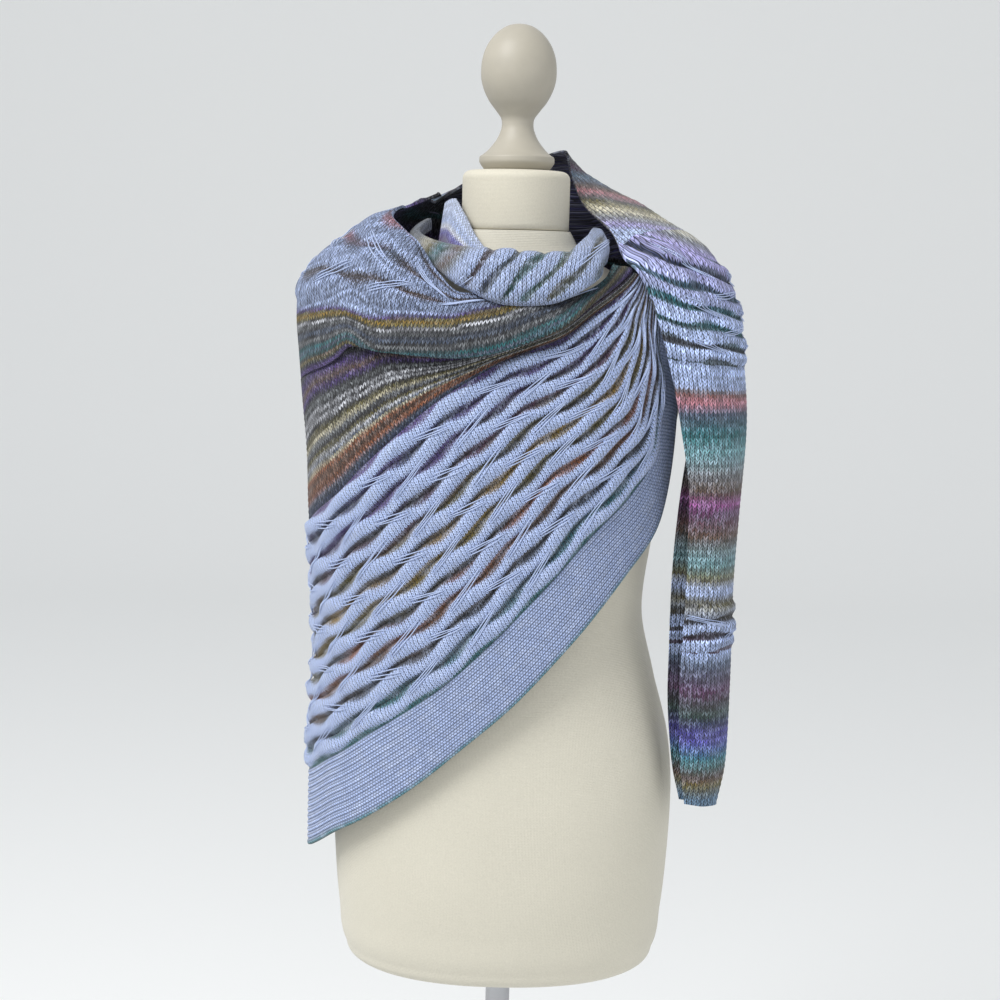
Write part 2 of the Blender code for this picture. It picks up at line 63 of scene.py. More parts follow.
# The outline the wrapped cloth hangs on: height, reach to -X, reach to +X, to the front, to the back
drapeRings = np.array([
    (0.700, 0.194, 0.176, 0.133, 0.136), (0.790, 0.194, 0.176, 0.132, 0.134),
    (0.870, 0.1935, 0.172, 0.131, 0.129), (0.950, 0.190, 0.166, 0.131, 0.125),
    (1.020, 0.194, 0.160, 0.130, 0.122), (1.085, 0.200, 0.160, 0.128, 0.119),
    (1.150, 0.203, 0.164, 0.1275, 0.117), (1.200, 0.208, 0.171, 0.126, 0.115),
    (1.245, 0.212, 0.181, 0.121, 0.113), (1.279, 0.2145, 0.188, 0.116, 0.107),
    (1.304, 0.213, 0.180, 0.111, 0.102), (1.320, 0.206, 0.165, 0.107, 0.098),
    (1.337, 0.192, 0.145, 0.101, 0.093), (1.357, 0.167, 0.120, 0.094, 0.088),
    (1.377, 0.139, 0.098, 0.088, 0.084), (1.390, 0.108, 0.088, 0.084, 0.081),
    (1.402, 0.084, 0.082, 0.080, 0.078)])

# The wrap, from the gather on the left shoulder round the front, the right arm and the back. Each row is a
# line of stitches up the cloth: place, then turn (degrees from the front towards -X) and height of the hem,
# the border's top, the lattice's top, the chest fold and the neck edge, and last how far the chest fold
# bulges.
wrapLines = np.array([
    (0, -60, 1.303, -59, 1.311, -56, 1.326, -54, 1.329, -49, 1.334, 0.003),
    (1, -64, 1.254, -57, 1.268, -46, 1.308, -43, 1.311, -41, 1.318, 0.006),
    (2, -71, 1.197, -61, 1.214, -36, 1.291, -33, 1.294, -32, 1.307, 0.010),
    (3, -75, 1.145, -61, 1.165, -23, 1.268, -21, 1.272, -21, 1.301, 0.014),
    (4, -68, 1.093, -50, 1.121, -8, 1.254, -6, 1.258, -5, 1.305, 0.018),
    (5, -48, 1.041, -34, 1.082, 7, 1.240, 10, 1.247, 11, 1.304, 0.020),
    (6, -28, 0.982, -15, 1.030, 22, 1.219, 25, 1.243, 24, 1.304, 0.020),
    (7, -5, 0.921, 6, 0.978, 33, 1.198, 37, 1.244, 35, 1.320, 0.018),
    (8, 18, 0.872, 27, 0.930, 43, 1.172, 48, 1.246, 47, 1.351, 0.013),
    (9, 40, 0.822, 47, 0.889, 53, 1.143, 58, 1.244, 59, 1.370, 0.006),
    (10, 61, 0.779, 65, 0.850, 67, 1.102, 70, 1.230, 73, 1.383, 0.0),
    (11, 90, 0.736, 89, 0.817, 90, 1.072, 90, 1.213, 90, 1.388, 0.0),
    (12, 114, 0.752, 113, 0.832, 113, 1.074, 112, 1.212, 111, 1.387, 0.0),
    (13, 138, 0.800, 136, 0.876, 136, 1.098, 135, 1.224, 134, 1.379, 0.0),
    (14, 160, 0.862, 158, 0.935, 158, 1.130, 157, 1.240, 158, 1.368, 0.0),
    (15, 182, 0.932, 180, 1.001, 180, 1.161, 180, 1.256, 182, 1.358, 0.0),
    (16, 204, 1.008, 202, 1.072, 202, 1.193, 202, 1.271, 205, 1.349, 0.0),
    (17, 226, 1.092, 224, 1.143, 224, 1.226, 224, 1.287, 226, 1.341, 0.0),
    (18, 248, 1.183, 246, 1.216, 245, 1.258, 245, 1.301, 245, 1.335, 0.0)])

# Where the quilted part of the shoulder starts: place, share of the height from the fold to the neck edge
shoulderLattice = np.array([
    (0, 0.90), (4, 0.90), (5, 0.86), (6, 0.77), (7, 0.62), (8, 0.48), (9, 0.41), (10, 0.41), (11, 0.44),
    (18, 0.50)])
shoulderSplit = 0.44     # the same in the wall's own grid

# Section of the chest fold: place up it, part of its height, part of its bulge
chestSection = np.array([
    (0.00, 0.20, 0.10), (0.07, 0.07, 0.22), (0.14, 0.02, 0.58), (0.24, 0.08, 0.90), (0.38, 0.24, 1.00),
    (0.58, 0.50, 0.80), (0.80, 0.77, 0.42), (1.00, 1.00, 0.12)])

# The roll at the neck: turn, radius and height of its crest, how far it bulges, how far it drops
neckRoll = np.array([
    (106, 0.088, 1.377, 0.009, 0.018), (88, 0.094, 1.368, 0.011, 0.018), (62, 0.096, 1.358, 0.016, 0.020),
    (42, 0.095, 1.352, 0.023, 0.024), (22, 0.092, 1.348, 0.036, 0.0375), (3, 0.091, 1.345, 0.041, 0.0481),
    (-17, 0.095, 1.344, 0.041, 0.0445), (-33, 0.099, 1.348, 0.040, 0.031), (-46, 0.095, 1.358, 0.024, 0.026),
    (-61, 0.084, 1.368, 0.019, 0.032), (-82, 0.077, 1.371, 0.009, 0.026)])
# Its section: place, part of the bulge, part of the drop
rollSection = np.array([
    (0.00, -0.14, 0.62), (0.14, -0.12, 0.26), (0.28, 0.04, 0.00), (0.44, 0.50, 0.02), (0.60, 0.86, 0.26),
    (0.76, 1.00, 0.60), (0.90, 0.96, 0.90), (1.00, 0.84, 1.02)])

# The layer inside the roll: turn, radius and height of its upper edge, radius and height of its lower edge
neckLayer = np.array([
    (126, 0.076, 1.398, 0.081, 1.362), (104, 0.073, 1.392, 0.079, 1.352), (82, 0.063, 1.396, 0.071, 1.348),
    (56, 0.061, 1.381, 0.073, 1.341), (38, 0.066, 1.363, 0.075, 1.335), (24, 0.070, 1.348, 0.076, 1.330)])

# Collar and tail, from behind the neck over the left shoulder and down the front, a row for each section:
# place, inner edge x y z, outer crest x y z, far edge x y z, bulge of the stretch between the first two
tailSections = np.array([
    (0, -0.081, 0.028, 1.394, -0.095, 0.036, 1.397, -0.108, 0.044, 1.390, 0.001),
    (1, -0.046, 0.074, 1.418, -0.053, 0.083, 1.398, -0.059, 0.082, 1.378, 0.002),
    (2, 0.004, 0.089, 1.436, 0.002, 0.099, 1.402, 0.000, 0.0890, 1.362, 0.003),
    (3, 0.048, 0.074, 1.450, 0.050, 0.098, 1.404, 0.043, 0.092, 1.355, 0.005),
    (4, 0.056, 0.044, 1.424, 0.092, 0.086, 1.404, 0.116, 0.108, 1.326, 0.008),
    (5, 0.067, 0.002, 1.394, 0.126, 0.050, 1.394, 0.168, 0.100, 1.302, 0.010),
    (6, 0.093, -0.034, 1.367, 0.156, 0.022, 1.376, 0.206, 0.084, 1.288, 0.011),
    (7, 0.103, -0.066, 1.343, 0.187, -0.006, 1.356, 0.222, 0.066, 1.268, 0.013),
    (8, 0.117, -0.090, 1.328, 0.206, -0.026, 1.326, 0.226, 0.046, 1.250, 0.017),
    (9, 0.131, -0.102, 1.297, 0.218, -0.042, 1.290, 0.214, 0.022, 1.232, 0.018),
    (10, 0.146, -0.104, 1.248, 0.225, -0.050, 1.238, 0.198, -0.004, 1.224, 0.019),
    (11, 0.160, -0.100, 1.187, 0.229, -0.053, 1.181, 0.180, -0.024, 1.177, 0.018),
    (12, 0.172, -0.093, 1.105, 0.225, -0.056, 1.099, 0.167, -0.040, 1.096, 0.015),
    (13, 0.172, -0.089, 1.022, 0.222, -0.056, 1.017, 0.162, -0.048, 1.012, 0.014),
    (14, 0.170, -0.084, 0.936, 0.223, -0.054, 0.930, 0.162, -0.047, 0.927, 0.013),
    (15, 0.173, -0.080, 0.858, 0.222, -0.053, 0.852, 0.168, -0.047, 0.849, 0.012),
    (16, 0.180, -0.074, 0.808, 0.214, -0.055, 0.803, 0.177, -0.051, 0.806, 0.007)])

cloth = {"thick": 0.0025, "bodyGap": 0.0031, "formPower": 2.2, "drapePower": 2.4, "side": 11.45}
quilt = {"high": 0.0062, "repeat": 0.073, "zigzag": 0.11, "strand": 0.00052, "strands": 3}


def unit(value):   # held between 0 and 1
    return np.clip(value, 0, 1)


# Monotone cubic through a table whose first column is the place along it
def throughRows(rows, at):
    at = np.asarray(at, float)
    place, values = rows[:, 0], rows[:, 1:]
    rise = np.diff(values, axis=0) / np.diff(place)[:, None]
    low, high = np.vstack([rise[:1], rise]), np.vstack([rise, rise[-1:]])
    slope = np.gradient(values, place, axis=0)
    limit = 3 * np.minimum(np.abs(low), np.abs(high))
    slope = np.where(low * high <= 0, 0.0, np.sign(low) * np.minimum(np.abs(slope), limit))
    i = np.clip(np.searchsorted(place, at, side="right") - 1, 0, len(place) - 2)
    h = place[i + 1] - place[i]
    t = unit((at - place[i]) / h)[..., None]
    h = h[..., None]
    return ((2 * t**3 - 3 * t**2 + 1) * values[i] + (t**3 - 2 * t**2 + t) * h * slope[i]
            + (3 * t**2 - 2 * t**3) * values[i + 1] + (t**3 - t**2) * h * slope[i + 1])


# Point on a stack of superellipse rings: (|sin| / side)^p + (|cos| / deep)^p = r^-p
def ringPoint(turn, z, rings, power):
    ring = throughRows(rings, z)
    s, c = np.sin(turn), np.cos(turn)
    side = np.where(s > 0, ring[..., 0], ring[..., -3])
    deep = np.where(c > 0, ring[..., -2], ring[..., -1])
    r = ((np.abs(s) / side)**power + (np.abs(c) / deep)**power)**(-1 / power)
    return np.stack([-r * s, -r * c, z + 0 * r], -1)


# Steps points along the gradient of their distance to the form until each is the gap away
def clearOf(points, gap):
    def outside(p):
        turn = np.arctan2(-p[..., 0], -p[..., 1])
        wall = ringPoint(turn, p[..., 2], formRings, cloth["formPower"])
        return np.hypot(p[..., 0], p[..., 1]) - np.hypot(wall[..., 0], wall[..., 1])

    p = points.copy()
    step = 5e-4
    for _ in range(4):
        here = outside(p)
        grad = np.stack([(outside(p + step * axis) - here) / step for axis in np.eye(3)], -1)
        length = np.maximum(np.linalg.norm(grad, axis=-1), 1e-6)
        push = np.clip(gap - here / length, 0.0, 0.01)
        push = np.where((p[..., 2] > formRings[0, 0]) & (p[..., 2] < formRings[-1, 0] + gap), push, 0.0)
        p += push[..., None] * grad / length[..., None]
    return p


def normalsOf(grid):   # cross product of the grid's two directions
    n = np.cross(np.gradient(grid, axis=0), np.gradient(grid, axis=1))
    return n / np.maximum(np.linalg.norm(n, axis=-1, keepdims=True), 1e-12)


def lengthAlong(grid, axis=0):   # running distance along one direction of a grid
    step = np.linalg.norm(np.diff(grid, axis=axis), axis=-1)
    return np.insert(np.cumsum(step, axis=axis), 0, 0.0, axis=axis)


# Turn and height between two of the wrap's row lines: a straight blend from one to the other
def wrapGrid(u, v, low, high):
    lines = throughRows(wrapLines, u)
    turn = np.radians(lines[:, None, 2 * low] + (lines[:, 2 * high] - lines[:, 2 * low])[:, None] * v)
    z = lines[:, None, 2 * low + 1] + (lines[:, 2 * high + 1] - lines[:, 2 * low + 1])[:, None] * v
    return turn, z


# The cloth's outline with soft hanging folds: radius plus depth times sin(9 turn + 2.2 drop)
def hang(turn, z):
    grid = ringPoint(turn, z, drapeRings, cloth["drapePower"])
    deep = unit((1.22 - z) / 0.45)**1.3 * unit((np.degrees(turn) - 62) / 40)
    wave = 0.0075 * deep * np.sin(turn * 9.0 + 2.2 * (1.2 - z))
    grid[..., 0] -= np.sin(turn) * wave
    grid[..., 1] -= np.cos(turn) * wave
    return clearOf(grid, cloth["bodyGap"])


def outward(turn, z):
    turn, z = np.broadcast_arrays(turn, z)
    side = hang(turn + 1e-3, z) - hang(turn - 1e-3, z)
    up = hang(turn, z + 2e-4) - hang(turn, z - 2e-4)
    n = np.cross(up, side)
    return n / np.linalg.norm(n, axis=-1, keepdims=True)


def panel(low, high, places, v):
    turn, z = wrapGrid(places[::-1], v[None, :], low, high)
    return hang(turn, z)


# Quilting. Every valley line runs at its number plus one zigzag of triangle waves, so the ridges between
# them wander together. Height is the square root of sin(pi part) and swells once a repeat, half a repeat
# later on every other ridge, between the strands that pull the cloth in. It returns the height from 0 to
# about 1 and the depth of the valley, 1 at its line.
def valleyLine(k, along):
    phase = along / quilt["repeat"]
    return k + quilt["zigzag"] * (4 * np.abs(phase - np.floor(phase + 0.5)) - 1)


def strandPull(k, along):   # 1 at the middle of a strand of line k, 0 between strands
    phase = along / quilt["repeat"] + 0.25 + 0.5 * (k % 2)
    return 0.5 - 0.5 * np.cos(2 * np.pi * phase)


def quilting(along, ridge):
    cell = np.floor(ridge)
    cell = cell - (ridge < valleyLine(cell, along)) + (ridge > valleyLine(cell + 1, along))
    low, high = valleyLine(cell, along), valleyLine(cell + 1, along)
    part = unit((ridge - low) / (high - low))
    pullLow, pullHigh = strandPull(cell, along), strandPull(cell + 1, along)
    lean = 0.13 * (pullLow - pullHigh)
    part = unit(part + lean * np.sin(np.pi * part))
    beat = -np.cos(2 * np.pi * (along / quilt["repeat"] - 0.25 - 0.5 * (cell % 2)))
    swell = 0.84 + 0.30 * beat + 0.08 * np.sin(2.3 * cell + 37 * along)
    near = np.minimum(part, 1 - part)
    return np.sin(np.pi * part)**0.5 * swell, unit(1 - near / (0.34 - 0.12 * beat))


# Puts a grid of points into a closed wall: the outer face with its relief, the inner face a wall's thickness
# behind the grid, and a rim between their edges
def wallMesh(name, grid, relief, stitches, chart, valley, inside=None):
    normal = normalsOf(grid)
    outer = grid + normal * relief[..., None]
    inner = grid - normal * cloth["thick"]
    nu, nv = grid.shape[:2]
    o = np.arange(nu * nv).reshape(nu, nv)
    n = o + nu * nv
    quads = [np.stack([o[:-1, :-1], o[1:, :-1], o[1:, 1:], o[:-1, 1:]], -1).reshape(-1, 4),
             np.stack([n[:-1, :-1], n[:-1, 1:], n[1:, 1:], n[1:, :-1]], -1).reshape(-1, 4),
             np.stack([o[0, :-1], o[0, 1:], n[0, 1:], n[0, :-1]], -1),
             np.stack([o[-1, 1:], o[-1, :-1], n[-1, :-1], n[-1, 1:]], -1),
             np.stack([o[1:, 0], o[:-1, 0], n[:-1, 0], n[1:, 0]], -1),
             np.stack([o[:-1, -1], o[1:, -1], n[1:, -1], n[:-1, -1]], -1)]
    twice = [np.broadcast_to(a, grid.shape[:2]).reshape(-1) for a in (chart, valley)]
    behind = twice[0] if inside is None else np.full(nu * nv, inside)   # chart place of the inner face
    uv = np.broadcast_to(stitches, (nu, nv, 2)).reshape(-1, 2)
    return surface(name, np.vstack([outer.reshape(-1, 3), inner.reshape(-1, 3)]), np.vstack(quads),
                   np.vstack([uv, uv]),
                   {"chart": np.append(twice[0], behind), "valley": np.tile(twice[1], 2)})


# Mesh of four-sided faces with a UV map in stitches and rows, and named values on its points
def surface(name, points, quads, uv=None, values=None):
    mesh = bpy.data.meshes.new(name)
    mesh.vertices.add(len(points))
    mesh.vertices.foreach_set("co", np.asarray(points, np.float32).reshape(-1))
    mesh.loops.add(quads.size)
    mesh.loops.foreach_set("vertex_index", quads.reshape(-1).astype(np.int32))
    mesh.polygons.add(len(quads))
    mesh.polygons.foreach_set("loop_start", np.arange(0, quads.size, 4, dtype=np.int32))
    mesh.polygons.foreach_set("use_smooth", np.ones(len(quads), bool))
    mesh.update(calc_edges=True)
    if uv is not None:
        layer = mesh.uv_layers.new(name="stitches")
        layer.data.foreach_set("uv", np.asarray(uv, np.float32)[quads.reshape(-1)].reshape(-1))
    for label, data in (values or {}).items():
        mesh.attributes.new(label, "FLOAT", "POINT").data.foreach_set("value", np.asarray(data, np.float32))
    mesh.validate()
    mesh.set_sharp_from_angle(angle=1.1)
    piece = bpy.data.objects.new(name, mesh)
    bpy.context.scene.collection.objects.link(piece)
    return piece


def blendAt(grid, i, j):   # point of a grid at fractional places, by bilinear blending
    i, j = np.clip(i, 0, grid.shape[0] - 1.001), np.clip(j, 0, grid.shape[1] - 1.001)
    a, b = np.floor(i).astype(int), np.floor(j).astype(int)
    s, t = (i - a)[..., None], (j - b)[..., None]
    return ((grid[a, b] * (1 - s) + grid[a + 1, b] * s) * (1 - t)
            + (grid[a, b + 1] * (1 - s) + grid[a + 1, b + 1] * s) * t)


# Strands on a surface: each is a row of points with a six-sided ring carried along it
def strandMesh(name, path, normal, radius, sides=6):
    along = np.gradient(path, axis=1)
    along /= np.maximum(np.linalg.norm(along, axis=-1, keepdims=True), 1e-9)
    across = np.cross(along, normal)
    across /= np.maximum(np.linalg.norm(across, axis=-1, keepdims=True), 1e-9)
    up = np.cross(across, along)
    angle = np.linspace(0, 2 * np.pi, sides, endpoint=False)
    ring = (across[:, :, None] * np.cos(angle)[:, None] + up[:, :, None] * np.sin(angle)[:, None])
    count, length = path.shape[:2]
    taper = np.minimum(1, 0.35 + 4 * np.minimum(np.linspace(0, 1, length), np.linspace(1, 0, length)))
    points = path[:, :, None] + ring * (radius * taper)[None, :, None, None]
    index = np.arange(points[..., 0].size).reshape(count, length, sides)
    turnOn = np.roll(index, -1, axis=2)
    quads = np.stack([index[:, :-1], turnOn[:, :-1], turnOn[:, 1:], index[:, 1:]], -1).reshape(-1, 4)
    # Each end closes on a point in the middle of its ring
    ends = np.concatenate([points[:, :1].mean(2), points[:, -1:].mean(2)], 1).reshape(-1, 3)
    tip = index.size + np.arange(2 * count).reshape(count, 2)
    caps = []
    for side, ringIndex in ((0, index[:, 0]), (1, index[:, -1])):
        order = ringIndex if side else ringIndex[:, ::-1]
        closed = np.concatenate([order, order[:, :1]], 1)
        for k in range(0, sides, 2):
            caps.append(np.stack([tip[:, side], closed[:, k], closed[:, k + 1], closed[:, k + 2]], -1))
    caps = np.concatenate(caps)
    uv = np.stack([np.broadcast_to(np.arange(length)[None, :, None] * 0.8, index.shape),
                   np.broadcast_to(np.arange(sides)[None, None, :] / sides, index.shape)], -1).reshape(-1, 2)
    uv = np.vstack([uv, np.zeros((len(ends), 2))])
    return surface(name, np.vstack([points.reshape(-1, 3), ends]), np.vstack([quads, caps]), uv)


# Materials. A Wire is a node's output that takes part in sums, each of which places one Math node.
class Wire:
    def __init__(self, socket):
        self.socket = socket

    def math(self, operation, *values):
        return place(self.socket.id_data, "ShaderNodeMath", (self, *values), operation=operation)

    def __add__(self, other):
        return self.math("ADD", other)

    def __sub__(self, other):
        return self.math("SUBTRACT", other)

    def __mul__(self, other):
        return self.math("MULTIPLY", other)


def join(tree, socket, value):
    if isinstance(value, Wire):
        tree.links.new(value.socket, socket)
    elif value is not None:
        socket.default_value = value


# Places a node, wires its inputs and hands back one output, or a list of them all where output is None
def place(tree, kind, inputs=(), output=0, **settings):
    node = tree.nodes.new(kind)
    for label, value in settings.items():
        setattr(node, label, value)
    for slot, value in (inputs.items() if isinstance(inputs, dict) else enumerate(inputs)):
        join(tree, node.inputs[slot], value)
    return [Wire(socket) for socket in node.outputs] if output is None else Wire(node.outputs[output])


def split(tree, vector):   # x, y and z of a vector
    return place(tree, "ShaderNodeSeparateXYZ", [vector], None)


def noise(tree, vector, scale, detail):
    return place(tree, "ShaderNodeTexNoise", {"Vector": vector, "Scale": scale, "Detail": detail})


def chance(tree, number):   # a random value from 0 to 1 for each whole number
    return place(tree, "ShaderNodeTexWhiteNoise", {"W": number}, noise_dimensions="1D")


def ranged(tree, value, *ends):   # from low, from high, to low, to high
    return place(tree, "ShaderNodeMapRange", (value, *ends))


def mixed(tree, factor, first, second, blend="MIX"):
    return place(tree, "ShaderNodeMix", {0: factor, 6: first, 7: second}, 2, data_type="RGBA",
                 blend_type=blend)


def shaded(tree, colour, shade):   # a colour times a plain number
    return mixed(tree, 1.0, colour, place(tree, "ShaderNodeCombineColor", [shade] * 3), "MULTIPLY")


def newGroup(name, inputs, outputs, kind="Float"):
    tree = bpy.data.node_groups.new(name, "ShaderNodeTree")
    for label, (socketKind, value) in inputs.items():
        socket = tree.interface.new_socket(label, in_out="INPUT", socket_type="NodeSocket" + socketKind)
        if value is not None:
            socket.default_value = value
    for label in outputs:
        tree.interface.new_socket(label, in_out="OUTPUT", socket_type="NodeSocket" + kind)
    end = tree.nodes.new("NodeGroupOutput")

    def give(**values):
        for label, value in values.items():
            join(tree, end.inputs[label], value)
        return tree

    return tree, {socket.name: Wire(socket) for socket in tree.nodes.new("NodeGroupInput").outputs}, give


# Stocking stitch. With a = |2 frac(x) - 1|, each leg is the row coordinate y - slant a, rounded across
# itself and along its length, deep between two stitches and shallow between the two legs of one. Snap is
# how far the leg's own row lies from the plain row, so that a stripe's edge follows the legs.
def buildStocking():
    tree, given, give = newGroup("stockingStitch", {"Stitches": ("Vector", None), "Slant": ("Float", 0.95)},
                                 ["Height", "Snap", "Row", "Leg"])
    x, y, _ = split(tree, given["Stitches"])
    x = x + (noise(tree, given["Stitches"], 0.45, 1.0) - 0.5) * 0.9
    a = (x.math("FRACT") * 2.0 - 1.0).math("ABSOLUTE")
    leg = y - a * given["Slant"]
    part = leg.math("FRACT")
    across = (a * (0.86 * np.pi) + 0.14 * np.pi).math("SINE").math("MAXIMUM", 0.0).math("POWER", 0.8)
    body = (part * np.pi).math("SINE").math("POWER", 0.7)
    row = leg - part
    return give(Height=across * (body * 0.80 + 0.20), Snap=row - y + 0.8, Row=row,
                Leg=row * 31.7 + (x * 2.0).math("FLOOR"))


# Garter stitch: two lines of half-round bumps to a ridge, the second lower and half a stitch along
def buildGarter():
    tree, given, give = newGroup("garterStitch", {"Stitches": ("Vector", None)}, ["Height", "Row", "Leg"])
    x, y, _ = split(tree, given["Stitches"])
    x = x + (noise(tree, given["Stitches"], 0.5, 1.0) - 0.5) * 0.7
    part = y.math("FRACT")
    bumps = []
    for shift, start in ((0.0, 0.0), (0.5, 1.0)):
        along = ((x + shift).math("FRACT") * np.pi).math("SINE")
        up = ((part * 2.0 - start).math("MAXIMUM", 0.0).math("MINIMUM", 1.0) * np.pi).math("SINE")
        bumps.append(along.math("POWER", 0.6) * up.math("POWER", 0.6) * (1.0 - 0.5 * start))
    row = y.math("FLOOR")
    return give(Height=bumps[0].math("MAXIMUM", bumps[1]), Row=row, Leg=row * 31.7 + x.math("FLOOR"))


# Wool: each row and each leg a little lighter or darker than the next, streaks and specks of the marl
# colour, fibre-sized mottling, and painted shade: darker gaps where the stitch height is low, Top on the
# legs
def buildWool():
    grey = (0.5, 0.5, 0.5, 1)
    tree, given, give = newGroup("woolTone", {
        "Colour": ("Color", grey), "Marl Colour": ("Color", grey), "Stitches": ("Vector", None),
        "Marl": ("Float", 0.3), "Rows": ("Float", 0.3), "Row": ("Float", 0.0), "Height": ("Float", 1.0),
        "Gap": ("Float", 0.55), "Leg": ("Float", 0.0), "Speckle": ("Float", 0.1), "Top": ("Float", 1.0)},
        ["Colour"], "Color")
    rowTone = (chance(tree, given["Row"]) - 0.5) * given["Rows"] + 1.0
    spot = place(tree, "ShaderNodeCombineXYZ", [split(tree, given["Stitches"])[0] * 0.16, given["Row"], 0.0])
    streak = ranged(tree, noise(tree, spot, 1.3, 2.0), 0.46, 0.66, 0.0, 1.0)
    fibre = (noise(tree, given["Stitches"], 2.6, 3.0) - 0.5) * 0.55 + 1.0
    legTone = chance(tree, given["Leg"])
    light = ranged(tree, legTone, 0.62, 0.9, 0.0, 1.0) * (given["Speckle"] * 1.2)
    marl = streak.math("MAXIMUM", light) * given["Marl"]
    colour = mixed(tree, marl, given["Colour"], given["Marl Colour"])
    speck = (legTone - 0.5) * given["Speckle"] + 1.0
    # painted shade: the colour falls to Gap in the low gaps between stitches and reaches Top on the legs
    deep = ranged(tree, given["Height"], 0.16, 0.66, given["Gap"], given["Top"])
    return give(Colour=shaded(tree, colour, rowTone * fibre * speck * deep))


def stripeRamp(tree, chart, position):   # one stop in the middle of each stripe: yarn and number of rows
    names, counts = zip(*(stripe.split() for stripe in chart.split(", ")))
    rows = np.array(counts, float)
    middle = (np.cumsum(rows) - rows / 2) / rows.sum()
    colour = place(tree, "ShaderNodeValToRGB", [position])
    stops = colour.socket.node.color_ramp.elements
    while len(stops) < len(rows):
        stops.new(0.5)
    for k in range(len(rows)):
        stops[k].position = float(middle[k])
    for k in range(len(rows)):
        stops[k].color = linearColour(yarns[names[k]])
    return colour


def newMaterial(name, roughness, metallic=0.0, sheen=0.0):
    material = bpy.data.materials.new(name)
    material.use_nodes = True
    shader = material.node_tree.nodes["Principled BSDF"]
    for label, value in (("Roughness", roughness), ("Metallic", metallic), ("Sheen Weight", sheen),
                         ("Sheen Roughness", 0.5)):
        shader.inputs[label].default_value = value
    return material, material.node_tree, shader


def finishMaterial(tree, shader, colour, height, strength, deep):   # colour, and a bump of that depth
    join(tree, shader.inputs["Base Color"], colour)
    bump = place(tree, "ShaderNodeBump", {"Strength": strength, "Distance": deep, "Height": height})
    join(tree, shader.inputs["Normal"], bump)


stitchGroups = {"stocking": buildStocking(), "garter": buildGarter(), "wool": buildWool()}


def useGroup(tree, label, inputs):
    node = tree.nodes.new("ShaderNodeGroup")
    node.node_tree = stitchGroups[label]
    for slot, value in inputs.items():
        join(tree, node.inputs[slot], value)
    return {socket.name: Wire(socket) for socket in node.outputs}


# Knitted finish. The chart gives the stripes; valleys, where there are any, show the second chart, darkened
# with depth as painted shade.
# gap and top in each look set the painted shade by stitch height, from the gaps between stitches to the legs
plainKnit = {"stitch": "stocking", "rowShare": 0.015, "speckle": 0.15, "top": 1.04, "deep": 0.0011,
             "roughness": 0.88, "sheen": 0.25}


def knitMaterial(name, look):
    look = {**plainKnit, **look}
    material, tree, shader = newMaterial(name, look["roughness"], 0.0, look["sheen"])
    uv = place(tree, "ShaderNodeUVMap", uv_map="stitches")
    chart = place(tree, "ShaderNodeAttribute", (), "Fac", attribute_name="chart")
    knit = useGroup(tree, look["stitch"], {"Stitches": uv})
    flat = place(tree, "ShaderNodeVectorMath", [uv, (0.028, 0.004, 0.0)], operation="MULTIPLY")
    drift = (noise(tree, flat, 1.0, 2.0) - 0.5) * look["drift"]
    position = chart + drift
    if "Snap" in knit:
        position = knit["Snap"] * look["rowShare"] + position
    colour = stripeRamp(tree, look["chart"], position)
    if "valleys" in look:
        valley = place(tree, "ShaderNodeAttribute", (), "Fac", attribute_name="valley")
        jag = (knit["Height"] - 0.5) * -0.45 + valley
        below = stripeRamp(tree, look["valleys"], drift * 6.0 + chart)
        # painted shade: the valley yarn darkens from 0.9 to 0.25 as the valley deepens, most by the gather
        below = shaded(tree, below, ranged(tree, jag, 0.45, 1.5, 0.9, 0.25))
        colour = mixed(tree, ranged(tree, jag, 0.26, 0.56, 0.0, 1.0), colour, below)
    tone = useGroup(tree, "wool", {
        "Colour": colour, "Marl Colour": linearColour(yarns[look["marlYarn"]]), "Stitches": uv,
        **{label: knit[label] for label in ("Row", "Height", "Leg")},
        **{label: look[label.lower()] for label in ("Marl", "Rows", "Gap", "Speckle", "Top")}})
    finishMaterial(tree, shader, tone["Colour"], knit["Height"], 0.9, look["deep"])
    return material


frontLook = {
    "chart": "blue 1, blue 1", "marlYarn": "ice", "marl": 0.35, "rows": 0.10, "gap": 0.10, "drift": 0.05,
    "valleys": "teal 2, slate 2, charcoal 1, brown 2, rust 1.5, charcoal 1, olive 2, gold 2, charcoal 1, "
               "olive 1.5, maroon 1.5, charcoal 1.5, purple 2, navy 2, purple 1"}
backLook = dict(frontLook, valleys="teal 2, slate 2, olive 2, maroon 2, gold 2, navy 2, teal 2, pink 1, "
                                   "purple 2, charcoal 2")
borderLook = {
    "stitch": "garter", "chart": "teal 0.35, blue 1.5, blue 10, blue 1", "marlYarn": "ice",
    "marl": 0.4, "rows": 0.08, "gap": 0.30, "drift": 0.0, "deep": 0.0016, "top": 1.02}
# top 0.76 dims the stripes below the quilting's 1.04: painted shade under the chest fold, on top of the
# yarns' own dark colours
stripesLook = {
    "chart": "navy 1.5, slate 1.5, rust 2.5, brown 2, rust 1.2, cream 1, slate 1, white 0.7, olive 1.5, "
             "charcoal 1.2, grey 1.5, cream 0.8, olive 1.5, charcoal 1.5, white 0.7, black 1.5, "
             "white 0.5, black 1.5, grey 1, black 1.2, purple 2, brown 1.5, purple 3, charcoal 2",
    "marlYarn": "grey", "marl": 0.20, "rows": 0.7, "rowShare": 0.024, "drift": 0.06, "gap": 0.02,
    "speckle": 1.3, "top": 0.76, "sheen": 0.06, "deep": 0.0014}
